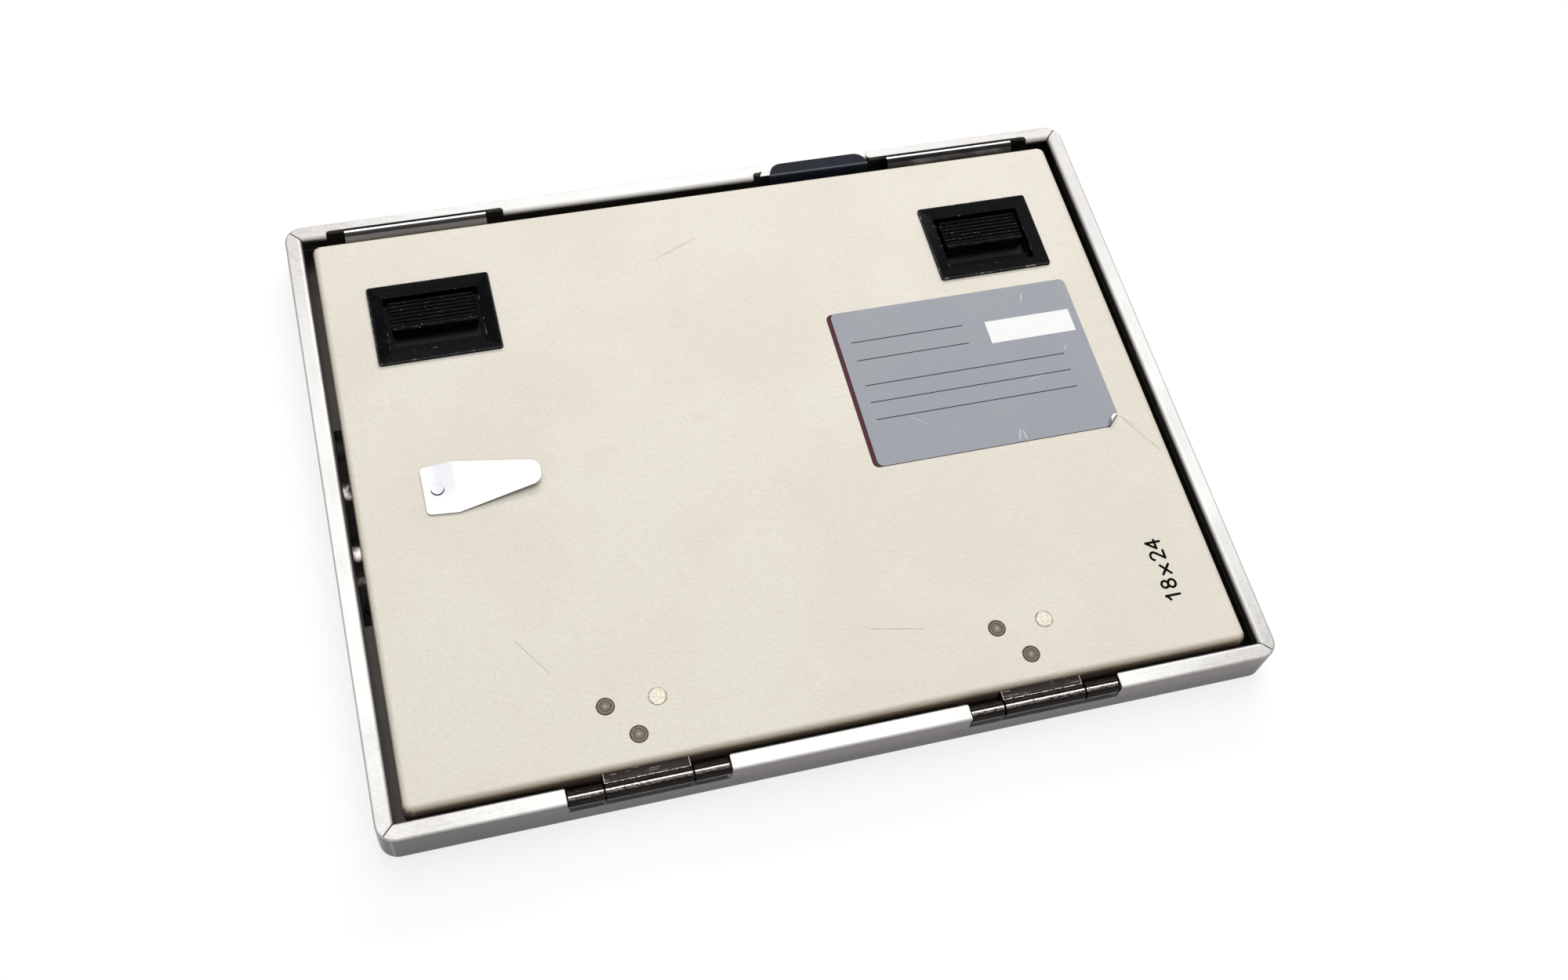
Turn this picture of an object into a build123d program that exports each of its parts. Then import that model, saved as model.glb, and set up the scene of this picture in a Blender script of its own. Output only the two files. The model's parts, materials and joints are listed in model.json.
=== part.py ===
"""X-ray film cassette for 18 x 24 cm film, lid side up.

A bent aluminium channel carries the front panel and screen. The lid is a shallow drawn cover over
a tray, with a foam pad that presses the back screen on the film. It swings on two hinges in the
near long side and is held by two sliding latches that hook under keepers in the far long side.

Frame: millimetres, origin at the middle of the underside, +X along the long sides,
+Y from the hinge side to the latch side, +Z out of the lid.
"""
from math import pi, sin

from build123d import *
import os

os.makedirs("parts", exist_ok=True)

# ---------------------------------------------------------------- film and stack
film_length = 240.0          # along X, between the screens' edges
film_width = 180.0           # along Y
end_margin = 13.5            # film edge to the outer face of a short side
side_margin = 14.0           # film edge to the outer face of a long side
screen_thickness = 0.9
film_space = 0.3             # left between the screens for the film
foam_thickness = 3.7
foam_overhang = 0.5          # foam pad and lead foil past the screen's edge
lead_thickness = 0.2
latch_space = 3.7            # between tray and cover, for the latches

# ---------------------------------------------------------------- frame channel section
wall = 1.6
corner_radius = 5.5
top_edge_radius = 0.6
bottom_edge_radius = 1.2
flange_width = 5.2           # top flange, from the outer face
flange_thickness = 1.7
flange_edge_radius = 1.4
lip_width = 4.0              # bottom lip, from the outer face
lip_thickness = 1.3
lip_corner_radius = 2.0
panel_thickness = 1.8
panel_play = 0.1             # groove height over the panel
panel_edge_clearance = 0.3   # panel edge to the channel's wall
shelf_thickness = 1.4
shelf_width = 12.8           # from the outer face
rib_inset = 10.8             # outer face to the light-trap rib
rib_thickness = 1.0
rib_corner_radius = 1.0
end_radius = 1.2             # plan rounds where the flange is cut away
seam_width = 0.3             # open mitre seams at the corners
seam_share = 0.62            # of the flange's diagonal that stays open

# ---------------------------------------------------------------- lid
lid_gap_end = 2.7            # lid edge to flange edge, short sides
lid_gap_hinge = 1.6
lid_gap_latch = 2.8
lid_sheet = 1.2
lid_corner_radius = 2.5
lid_edge_radius = 2.0
skirt_gap = 0.3              # lift spring's crest to the lid's drawn edge
tray_sheet = 0.8
tray_gap = 1.0               # tray edge to the inside of the skirt, past its round edge
seal_thickness = 1.1
seal_gap = 0.4               # felt to the light-trap rib, closed
seal_width = 2.2

# ---------------------------------------------------------------- hinges
hinge_spacing = 117.6        # between the hinges' middles
knuckle_radius = 2.5
pin_radius = 1.25
pin_clearance = 0.05
leaf_thickness = 1.2
lid_knuckle_length = 24.6
frame_knuckle_length = 9.9
knuckle_gap = 0.6
notch_end_gap = 0.5          # outer knuckle to the end of the channel's notch
notch_floor_gap = 1.2        # knuckle to the wall left under it
leaf_rise = 1.9              # lid leaf's top over the hinge axis
lid_leaf_reach = 30.5        # from the hinge axis under the lid
frame_leaf_ear = 6.0         # frame leaf past the notch, where its rivets are
leaf_notch_clearance = 0.3
lid_rivet_radius = 2.65
rivet_shank_radius = 1.4
rivet_shank_clearance = 0.05
lid_rivet_spacing = 15.0
lid_rivet_row = 23.4         # hinge axis to the pair of rivets
lid_rivet_single = 13.4      # hinge axis to the single rivet
rivet_proud = 0.05
rivet_tail_radius = 2.2
rivet_tail_height = 0.7
frame_rivet_radius = 1.5     # flush head in the channel's wall
frame_shank_radius = 1.0
frame_tail_radius = 1.5
frame_rivet_edge = 2.9       # rivet to the notch's end

# ---------------------------------------------------------------- latches
latch_spacing = 184.0
latch_inset = 35.0           # lid's far edge to the bezel's middle
bezel_length = 38.6
bezel_width = 29.6
bezel_rise = 0.9
bezel_corner_radius = 1.0
bezel_edge_radius = 0.4
bezel_rim = 0.7
bezel_slope = 3.7
bezel_slope_drop = 1.0
bezel_wall = 1.3
bezel_cutout_clearance = 0.1
recess_floor = 1.0
recess_floor_gap = 0.2       # recess floor to the bolt under it
knob_length = 27.0
knob_width = 11.0
knob_far_gap = 1.9           # knob to the far end of the opening when latched
knob_slot_clearance = 0.3
knob_slot_radius = 1.5
knob_rise = -0.3             # of the ribs' feet over the lid
rib_bar_radius = 0.5
rib_bar_pitch = 1.4
rib_bar_count = 7
knob_lip_radius = 0.8
latch_travel = 4.2
bolt_thickness = 1.3
bolt_lift = 0.1              # bolt over the tray
bolt_width = 21.8
bolt_tail_width = 29.8
bolt_reach = 3.1             # bolt's tip past the lid's edge
bolt_slot_clearance = 0.3
bolt_tip_chamfer = 0.9
bolt_lug_thickness = 1.0
bolt_lug_gap = 0.2           # lug to the cover
bolt_lug_width = 8.0
bolt_stop_gap = 0.3          # lug to the bezel's body when latched
guide_length = 7.0
guide_wall = 3.0
guide_inset = 6.0            # lid's far edge to the guide
screw_radius = 0.9
screw_head_radius = 1.6
screw_head_height = 0.6
screw_spacing = 16.0
screw_depth = 1.9            # screw in the knob
screw_clearance = 0.05
spring_length = 12.0
spring_wire_radius = 0.25
spring_clearance = 0.15      # coil to tray and cover
spring_turns = 7
seat_thickness = 2.5
seat_width = 8.0

# ---------------------------------------------------------------- keepers
keeper_length = 45.6
keeper_sheet = 1.0
keeper_drop = 0.4            # keeper top under the flange's top
keeper_top_width = 1.4
keeper_slope_width = 1.9
keeper_slope_height = 2.1
keeper_clearance = 1.1       # lid edge to the keeper's lower edge
keeper_foot_height = 4.3
keeper_rivet_spacing = 32.0
keeper_notch_length = 57.0
keeper_notch_depth = 2.2

# ---------------------------------------------------------------- edge tab
tab_middle = 44.7            # along X
tab_length = 34.5
tab_depth = 5.2              # along Y
tab_inset = 0.4              # from the outer face
tab_height = 4.1
tab_corner_radius = 4.4
tab_gap_left = 2.4
tab_gap_right = 0.4
tab_step = 3.5               # flange cut further than the wall on the left
tab_foot_length = 26.0
tab_foot_thickness = 1.5

# ---------------------------------------------------------------- lift springs and clip
lift_spring_length = 67.0
lift_spring_middle = -1.5    # along Y
lift_spring_width = 5.0
lift_spring_gap = 0.4        # to the light-trap rib
lift_spring_sheet = 0.5
lift_spring_foot = 10.0
lift_spring_rise = 2.0
lift_spring_waves = 2
lift_rivet_radius = 1.7
lift_rivet_height = 0.7
lift_shank_radius = 0.9
lift_rivet_end = 5.0         # rivet to the foot's end
clip_middle = (-100.8, -0.2)
clip_sheet = 0.5
clip_base_length = 9.3       # flat part
clip_length = 35.0
clip_base_width = 16.0
clip_shoulder_width = 17.6
clip_tip_width = 7.4
clip_lift = 1.5              # of the tip over the lid
clip_back = 4.1              # rivet to the back edge
clip_rivet_radius = 1.9
clip_rivet_height = 0.35
clip_shank_radius = 1.0
clip_tail_radius = 1.5
clip_corner_radius = 1.5
clip_tip_radius = 3.4

# ---------------------------------------------------------------- sizes that follow
panel_top = lip_thickness + panel_thickness
back_screen_bottom = panel_top + screen_thickness + film_space
foam_bottom = back_screen_bottom + screen_thickness
lead_bottom = foam_bottom + foam_thickness
tray_bottom = lead_bottom + lead_thickness
tray_top = tray_bottom + tray_sheet
lid_underside = tray_top + latch_space
lid_top = lid_underside + lid_sheet

frame_length = film_length + 2 * end_margin
frame_width = film_width + 2 * side_margin
frame_height = lid_top
flange_bottom = frame_height - flange_thickness
groove_height = panel_thickness + panel_play
shelf_bottom = lip_thickness + groove_height
shelf_top = shelf_bottom + shelf_thickness
rib_height = tray_bottom - seal_thickness - seal_gap - shelf_top
skirt_bottom = shelf_top + lift_spring_sheet + lift_spring_rise + skirt_gap
skirt_height = lid_top - skirt_bottom

near_face = -frame_width / 2
far_face = frame_width / 2
lid_end = flange_width + lid_gap_end         # insets from the frame's outer faces
lid_near = flange_width + lid_gap_hinge
lid_far = flange_width + lid_gap_latch
lid_far_edge = far_face - lid_far

hinge_axis_y = near_face + knuckle_radius
hinge_axis_height = lid_underside - leaf_rise
notch_floor = hinge_axis_height - knuckle_radius - notch_floor_gap
bore_radius = pin_radius + pin_clearance
hinge_xs = (-hinge_spacing / 2, hinge_spacing / 2)
knuckle_offset = lid_knuckle_length / 2 + knuckle_gap + frame_knuckle_length / 2
hinge_half = knuckle_offset + frame_knuckle_length / 2
notch_half = hinge_half + notch_end_gap
wall_inside_near = near_face + wall
wall_inside_far = far_face - wall
frame_rivet_height = (shelf_top + notch_floor) / 2
keeper_foot_top = shelf_top + keeper_foot_height
keeper_rivet_height = shelf_top + (keeper_foot_height - keeper_sheet) / 2
lift_spring_x = frame_length / 2 - rib_inset + lift_spring_gap + lift_spring_width / 2
lift_near = lift_spring_middle - lift_spring_length / 2
lift_rivet_y = lift_near + lift_rivet_end

latch_y = lid_far_edge - latch_inset
opening_length = bezel_length - 2 * (bezel_rim + bezel_slope)
opening_width = bezel_width - 2 * (bezel_rim + bezel_slope)
bolt_bottom = tray_top + bolt_lift
bolt_top = bolt_bottom + bolt_thickness
bezel_top = lid_top + bezel_rise
slope_bottom = bezel_top - bezel_slope_drop
floor_bottom = bolt_top + recess_floor_gap
floor_top = floor_bottom + recess_floor
bezel_body_length = opening_length + 2 * bezel_wall
bezel_body_width = opening_width + 2 * bezel_wall
knob_far = opening_width / 2 - knob_far_gap      # from the bezel's middle
knob_near = knob_far - knob_width
bolt_tip = lid_far_edge + bolt_reach
lug_far = -bezel_body_width / 2 - bolt_stop_gap  # from the bezel's middle
lug_near = lug_far - bolt_lug_thickness
lug_top = lid_underside - bolt_lug_gap
spring_axis_height = tray_top + latch_space / 2
spring_radius = latch_space / 2 - spring_clearance - spring_wire_radius
seat_far = lug_near - spring_length

SIDES = (("left", -1), ("right", 1))


def inset_rectangle(end, near, far, radius=0.0, mode=Mode.ADD):
    """Rectangle whose sides lie inside the frame's outer faces by the given insets."""
    length = frame_length - 2 * end
    width = frame_width - near - far
    with Locations((0, (near - far) / 2)):
        if radius > 0:
            RectangleRounded(length, width, radius, mode=mode)
        else:
            Rectangle(length, width, mode=mode)


def slab(bottom, thickness, end, near, far, radius=0.0, mode=Mode.ADD):
    """Flat layer of the stack, added to or cut from the part being built."""
    with BuildSketch(Plane.XY.offset(bottom)) as layer:
        inset_rectangle(end, near, far, radius)
    extrude(layer.sketch, amount=thickness, mode=mode)


def eased_corner(x, y, into_x, into_y):
    """Plan area that rounds off the corner at x, y of metal lying towards into_x, into_y."""
    with Locations((x, y)):
        Rectangle(2 * end_radius, 2 * end_radius)
    with Locations((x + into_x * end_radius, y + into_y * end_radius)):
        Circle(end_radius, mode=Mode.SUBTRACT)


# ================================================================ frame channel
with BuildPart() as frame_channel:
    slab(0, frame_height, 0, 0, 0, corner_radius)
    fillet(frame_channel.faces().sort_by(Axis.Z)[-1].edges(), top_edge_radius)
    fillet(frame_channel.faces().sort_by(Axis.Z)[0].edges(), bottom_edge_radius)
    inner_radius = corner_radius - wall
    room = flange_bottom - shelf_top
    slab(shelf_top, room, wall, wall, wall, inner_radius, Mode.SUBTRACT)
    slab(flange_bottom, flange_thickness, flange_width, flange_width, flange_width,
         mode=Mode.SUBTRACT)
    fillet(frame_channel.faces().sort_by(Axis.Z)[-1].inner_wires()[0].edges(), flange_edge_radius)
    slab(lip_thickness, groove_height, wall, wall, wall, inner_radius, Mode.SUBTRACT)
    slab(0, lip_thickness, lip_width, lip_width, lip_width, lip_corner_radius, Mode.SUBTRACT)
    slab(shelf_bottom, shelf_thickness, shelf_width, shelf_width, shelf_width,
         mode=Mode.SUBTRACT)

    # Light-trap rib on the shelf.
    with BuildSketch(Plane.XY.offset(shelf_top)):
        inset_rectangle(rib_inset, rib_inset, rib_inset, rib_corner_radius)
        rib_inside = rib_inset + rib_thickness
        inset_rectangle(rib_inside, rib_inside, rib_inside, mode=Mode.SUBTRACT)
    extrude(amount=rib_height)

    # Hinge notches through the near rail, down to the wall that is left under them.
    with BuildSketch(Plane.XY.offset(notch_floor)):
        with Locations((hinge_xs[0], near_face), (hinge_xs[1], near_face)):
            Rectangle(2 * notch_half, 2 * flange_width + 2 * flange_edge_radius)
        for x in hinge_xs:
            for s in (-1, 1):
                eased_corner(x + s * notch_half, near_face + flange_width, s, -1)
    extrude(amount=frame_height, mode=Mode.SUBTRACT)

    # Keeper notches in the far flange's inner edge.
    with BuildSketch(Plane.XY.offset(flange_bottom - flange_thickness)):
        for _, side in SIDES:
            with Locations((side * latch_spacing / 2, far_face - flange_width)):
                RectangleRounded(keeper_notch_length, 2 * keeper_notch_depth, end_radius)
    extrude(amount=frame_height, mode=Mode.SUBTRACT)

    # Gap for the edge tab: through flange and wall, and a step further in the flange.
    gap_start = tab_middle - tab_length / 2 - tab_gap_left
    gap_end = tab_middle + tab_length / 2 + tab_gap_right
    strip_edge = far_face - flange_width + keeper_notch_depth
    strip_start = gap_start - tab_step
    strip_end = latch_spacing / 2 - keeper_notch_length / 2 + 4 * end_radius
    with BuildSketch(Plane.XY.offset(frame_height - tab_height)):
        with Locations(((gap_start + gap_end) / 2, far_face)):
            Rectangle(gap_end - gap_start, 2 * flange_width + 2 * flange_edge_radius)
        with Locations(((strip_start + strip_end) / 2, far_face - flange_width)):
            RectangleRounded(strip_end - strip_start, 2 * keeper_notch_depth, end_radius)
        for x, s in ((gap_start, -1), (gap_end, 1)):
            eased_corner(x, far_face, s, -1)
            eased_corner(x, strip_edge, s, 1)
    extrude(amount=frame_height, mode=Mode.SUBTRACT)

    # Open mitre seams in the flange and the lip, from each inner corner outwards.
    for level, height, width in ((flange_bottom, flange_thickness, flange_width),
                                 (0, lip_thickness, lip_width)):
        seam_length = (seam_share + 1) * width * 2 ** 0.5
        offset_in = width * (3 - seam_share) / 2
        with BuildSketch(Plane.XY.offset(level)):
            for sx in (-1, 1):
                for sy in (-1, 1):
                    corner = (sx * (frame_length / 2 - offset_in), sy * (far_face - offset_in))
                    with Locations(Location(corner, 45 * sx * sy)):
                        Rectangle(seam_length, seam_width)
        extrude(amount=height, mode=Mode.SUBTRACT)

    # Rivet holes: lift springs in the shelf, hinge leaves in the near wall, keepers in the far.
    with BuildSketch(Plane.XY.offset(shelf_bottom)):
        with Locations((-lift_spring_x, lift_rivet_y), (lift_spring_x, lift_rivet_y)):
            Circle(lift_shank_radius + rivet_shank_clearance)
    extrude(amount=shelf_thickness, mode=Mode.SUBTRACT)
    frame_rivet_xs = [x + s * (notch_half + frame_rivet_edge) for x in hinge_xs for s in (-1, 1)]
    with Locations([Location((x, near_face, frame_rivet_height), (90, 0, 0))
                    for x in frame_rivet_xs]):
        Hole(frame_rivet_radius + rivet_shank_clearance, 2 * wall)
    keeper_rivet_xs = [side * latch_spacing / 2 + s * keeper_rivet_spacing / 2
                       for _, side in SIDES for s in (-1, 1)]
    with Locations([Location((x, far_face, keeper_rivet_height), (-90, 0, 0))
                    for x in keeper_rivet_xs]):
        Hole(frame_rivet_radius + rivet_shank_clearance, 2 * wall)
frame_channel.part.label = "frame_channel"
export_step(frame_channel.part, "parts/frame_channel.step")

# ================================================================ front panel and screens
with BuildPart() as front_panel:
    panel_inset = wall + panel_edge_clearance
    slab(lip_thickness, panel_thickness, panel_inset, panel_inset, panel_inset,
         corner_radius - panel_inset)
front_panel.part.label = "front_panel"
export_step(front_panel.part, "parts/front_panel.step")

with BuildPart() as front_screen:
    slab(panel_top, screen_thickness, end_margin, side_margin, side_margin)
front_screen.part.label = "front_screen"
export_step(front_screen.part, "parts/front_screen.step")

with BuildPart() as back_screen:
    slab(back_screen_bottom, screen_thickness, end_margin, side_margin, side_margin)
back_screen.part.label = "back_screen"
export_step(back_screen.part, "parts/back_screen.step")

pad_end = end_margin - foam_overhang
pad_side = side_margin - foam_overhang
with BuildPart() as foam_pad:
    slab(foam_bottom, foam_thickness, pad_end, pad_side, pad_side)
foam_pad.part.label = "foam_pad"
export_step(foam_pad.part, "parts/foam_pad.step")

with BuildPart() as lead_foil:
    slab(lead_bottom, lead_thickness, pad_end, pad_side, pad_side)
lead_foil.part.label = "lead_foil"
export_step(lead_foil.part, "parts/lead_foil.step")

# ================================================================ lid cover, tray and seal
rivet_spots = [(x + dx, hinge_axis_y + dy) for x in hinge_xs
               for dx, dy in ((-lid_rivet_spacing / 2, lid_rivet_row),
                              (lid_rivet_spacing / 2, lid_rivet_row),
                              (0, lid_rivet_single))]
leaf_slot = lid_knuckle_length + 2 * leaf_notch_clearance
bolt_slot = bolt_width + 2 * bolt_slot_clearance

with BuildPart() as lid_pan:
    slab(skirt_bottom, skirt_height, lid_end, lid_near, lid_far, lid_corner_radius)
    fillet(lid_pan.faces().sort_by(Axis.Z)[-1].edges(), lid_edge_radius)
    offset(amount=-lid_sheet, openings=lid_pan.faces().sort_by(Axis.Z)[0])

    # Cut-outs for the latch bezels and holes for the hinge rivets.
    with BuildSketch(Plane.XY.offset(lid_underside)):
        for _, side in SIDES:
            with Locations((side * latch_spacing / 2, latch_y)):
                Rectangle(bezel_body_length + 2 * bezel_cutout_clearance,
                          bezel_body_width + 2 * bezel_cutout_clearance)
        with Locations(rivet_spots):
            Circle(lid_rivet_radius + rivet_shank_clearance)
        with Locations(clip_middle):
            Circle(clip_shank_radius + rivet_shank_clearance)
    extrude(amount=lid_sheet, mode=Mode.SUBTRACT)

    # Slots in the skirt: the hinge leaves on the near side, the bolts on the far side.
    with BuildSketch(Plane.XY.offset(skirt_bottom)):
        with Locations((hinge_xs[0], near_face + lid_near), (hinge_xs[1], near_face + lid_near)):
            Rectangle(leaf_slot, 4 * lid_sheet)
    extrude(amount=lid_underside - skirt_bottom, mode=Mode.SUBTRACT)
    with BuildSketch(Plane.XY.offset(bolt_bottom - bolt_slot_clearance)):
        for _, side in SIDES:
            with Locations((side * latch_spacing / 2, lid_far_edge)):
                Rectangle(bolt_slot, 4 * lid_sheet)
    extrude(amount=bolt_thickness + 2 * bolt_slot_clearance, mode=Mode.SUBTRACT)
lid_pan.part.label = "lid_pan"
export_step(lid_pan.part, "parts/lid_pan.step")

tray_end = lid_end + lid_sheet + tray_gap
tray_near = lid_near + lid_sheet + tray_gap
tray_far = lid_far + lid_sheet + tray_gap
with BuildPart() as lid_tray:
    slab(tray_bottom, lid_underside - tray_bottom, tray_end, tray_near, tray_far,
         lid_corner_radius - lid_sheet)
    offset(amount=-tray_sheet, openings=lid_tray.faces().sort_by(Axis.Z)[-1])
    with BuildSketch(Plane.XY.offset(tray_top)):
        with Locations((hinge_xs[0], near_face + tray_near), (hinge_xs[1], near_face + tray_near)):
            Rectangle(leaf_slot, 4 * tray_sheet)
        for _, side in SIDES:
            with Locations((side * latch_spacing / 2, far_face - tray_far)):
                Rectangle(bolt_slot, 4 * tray_sheet)
    extrude(amount=lid_underside - tray_top, mode=Mode.SUBTRACT)
lid_tray.part.label = "lid_tray"
export_step(lid_tray.part, "parts/lid_tray.step")

seal_inset = rib_inset + rib_thickness / 2 - seal_width / 2
with BuildPart() as light_seal:
    with BuildSketch(Plane.XY.offset(tray_bottom - seal_thickness)):
        inset_rectangle(seal_inset, seal_inset, seal_inset)
        seal_inside = seal_inset + seal_width
        inset_rectangle(seal_inside, seal_inside, seal_inside, mode=Mode.SUBTRACT)
    extrude(amount=seal_thickness)
light_seal.part.label = "light_seal"
export_step(light_seal.part, "parts/light_seal.step")

# ================================================================ hinges
for (side, _), hinge_x in zip(SIDES, hinge_xs):
    hinge_plane = Plane((hinge_x, hinge_axis_y, hinge_axis_height), x_dir=(0, 1, 0), z_dir=(1, 0, 0))

    # Lid leaf: one long knuckle, and a plate under the cover.
    with BuildPart() as hinge_lid_leaf:
        with BuildSketch(hinge_plane.offset(-lid_knuckle_length / 2)):
            Circle(knuckle_radius)
            leaf_level = leaf_rise - leaf_thickness
            with Locations((0, leaf_level)):
                Rectangle(lid_leaf_reach, leaf_thickness, align=(Align.MIN, Align.MIN))
            Circle(bore_radius, mode=Mode.SUBTRACT)
        extrude(amount=lid_knuckle_length)
        hole_tops = [(hinge_x + dx, hinge_axis_y + dy, lid_underside)
                     for dx, dy in ((-lid_rivet_spacing / 2, lid_rivet_row),
                                    (lid_rivet_spacing / 2, lid_rivet_row),
                                    (0, lid_rivet_single))]
        with Locations(*hole_tops):
            Hole(rivet_shank_radius + rivet_shank_clearance, leaf_thickness)
    hinge_lid_leaf.part.label = f"hinge_lid_leaf_{side}"
    export_step(hinge_lid_leaf.part, f"parts/hinge_lid_leaf_{side}.step")

    # Frame leaf: a plate behind the wall, with the two outer knuckles rising from it.
    with BuildPart() as hinge_frame_leaf:
        plate_middle = (hinge_x, wall_inside_near + leaf_thickness / 2)
        plate_length = 2 * (notch_half + frame_leaf_ear)
        with BuildSketch(Plane.XY.offset(shelf_top)):
            with Locations(plate_middle):
                Rectangle(plate_length, leaf_thickness)
        extrude(amount=notch_floor - shelf_top)
        for s in (-1, 1):
            middle = hinge_plane.offset(s * knuckle_offset - frame_knuckle_length / 2)
            with BuildSketch(middle):
                Circle(knuckle_radius)
                foot = shelf_top - hinge_axis_height
                with Locations((wall_inside_near - hinge_axis_y, foot)):
                    Rectangle(leaf_thickness, -foot, align=(Align.MIN, Align.MIN))
                Circle(bore_radius, mode=Mode.SUBTRACT)
            extrude(amount=frame_knuckle_length)
        with Locations([Location((hinge_x + s * (notch_half + frame_rivet_edge),
                                  wall_inside_near, frame_rivet_height), (90, 0, 0))
                        for s in (-1, 1)]):
            Hole(frame_shank_radius + rivet_shank_clearance, 2 * leaf_thickness)
    hinge_frame_leaf.part.label = f"hinge_frame_leaf_{side}"
    export_step(hinge_frame_leaf.part, f"parts/hinge_frame_leaf_{side}.step")

    with BuildPart() as hinge_pin:
        with BuildSketch(hinge_plane.offset(-hinge_half)):
            Circle(pin_radius)
        extrude(amount=2 * hinge_half)
        chamfer(hinge_pin.edges(), pin_radius / 4)
    hinge_pin.part.label = f"hinge_pin_{side}"
    export_step(hinge_pin.part, f"parts/hinge_pin_{side}.step")

# Flush rivets that hold the lid leaves to the cover.
with BuildPart() as lid_hinge_rivets:
    tail_bottom = lid_underside - leaf_thickness - rivet_tail_height
    for bottom, top, radius in ((tail_bottom, tail_bottom + rivet_tail_height, rivet_tail_radius),
                                (tail_bottom, lid_top, rivet_shank_radius),
                                (lid_underside, lid_top + rivet_proud, lid_rivet_radius)):
        with BuildSketch(Plane.XY.offset(bottom)):
            with Locations(rivet_spots):
                Circle(radius)
        extrude(amount=top - bottom)
lid_hinge_rivets.part.label = "lid_hinge_rivets"
export_step(lid_hinge_rivets.part, "parts/lid_hinge_rivets.step")


def wall_rivets(xs, height, outer_face, inward, grip):
    """Flush rivets through the channel's wall and a plate of thickness grip behind it."""
    head_plane = Plane((0, outer_face, height), x_dir=(1, 0, 0), z_dir=(0, inward, 0))
    tail = wall + grip
    for start, length, radius in ((0, wall, frame_rivet_radius),
                                  (0, tail, frame_shank_radius),
                                  (tail, rivet_tail_height, frame_tail_radius)):
        with BuildSketch(head_plane.offset(start)) as stage:
            with Locations([(x, 0) for x in xs]):
                Circle(radius)
        extrude(stage.sketch, amount=length)


with BuildPart() as frame_hinge_rivets:
    wall_rivets(frame_rivet_xs, frame_rivet_height, near_face, 1, leaf_thickness)
frame_hinge_rivets.part.label = "frame_hinge_rivets"
export_step(frame_hinge_rivets.part, "parts/frame_hinge_rivets.step")

# ================================================================ keepers
with BuildPart() as keeper_rivets:
    wall_rivets(keeper_rivet_xs, keeper_rivet_height, far_face, -1, keeper_sheet)
keeper_rivets.part.label = "keeper_rivets"
export_step(keeper_rivets.part, "parts/keeper_rivets.step")

keeper_edge_y = lid_far_edge + keeper_clearance       # lower edge of the slope
keeper_front_y = keeper_edge_y + keeper_slope_width   # front edge of the flat top
keeper_back_y = keeper_front_y + keeper_top_width
keeper_top = frame_height - keeper_drop
slope_length = (keeper_slope_width ** 2 + keeper_slope_height ** 2) ** 0.5
slope_in_y = keeper_sheet * keeper_slope_height / slope_length
slope_in_z = keeper_sheet * keeper_slope_width / slope_length
for side, sign in SIDES:
    keeper_plane = Plane((sign * latch_spacing / 2, 0, 0), x_dir=(0, 1, 0), z_dir=(1, 0, 0))
    with BuildPart() as keeper:
        with BuildSketch(keeper_plane.offset(-keeper_length / 2)):
            with BuildLine():
                Polyline(
                    (wall_inside_far, shelf_top),
                    (wall_inside_far, keeper_foot_top),
                    (keeper_back_y, keeper_foot_top),
                    (keeper_back_y, keeper_top),
                    (keeper_front_y, keeper_top),
                    (keeper_edge_y, keeper_top - keeper_slope_height),
                    (keeper_edge_y + slope_in_y, keeper_top - keeper_slope_height - slope_in_z),
                    (keeper_back_y - keeper_sheet, keeper_top - keeper_sheet - slope_in_z),
                    (keeper_back_y - keeper_sheet, keeper_foot_top - keeper_sheet),
                    (wall_inside_far - keeper_sheet, keeper_foot_top - keeper_sheet),
                    (wall_inside_far - keeper_sheet, shelf_top),
                    close=True,
                )
            make_face()
        extrude(amount=keeper_length)
        with Locations([Location((sign * latch_spacing / 2 + s * keeper_rivet_spacing / 2,
                                  wall_inside_far, keeper_rivet_height), (-90, 0, 0))
                        for s in (-1, 1)]):
            Hole(frame_shank_radius + rivet_shank_clearance, 2 * keeper_sheet)
    keeper.part.label = f"keeper_{side}"
    export_step(keeper.part, f"parts/keeper_{side}.step")

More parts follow.
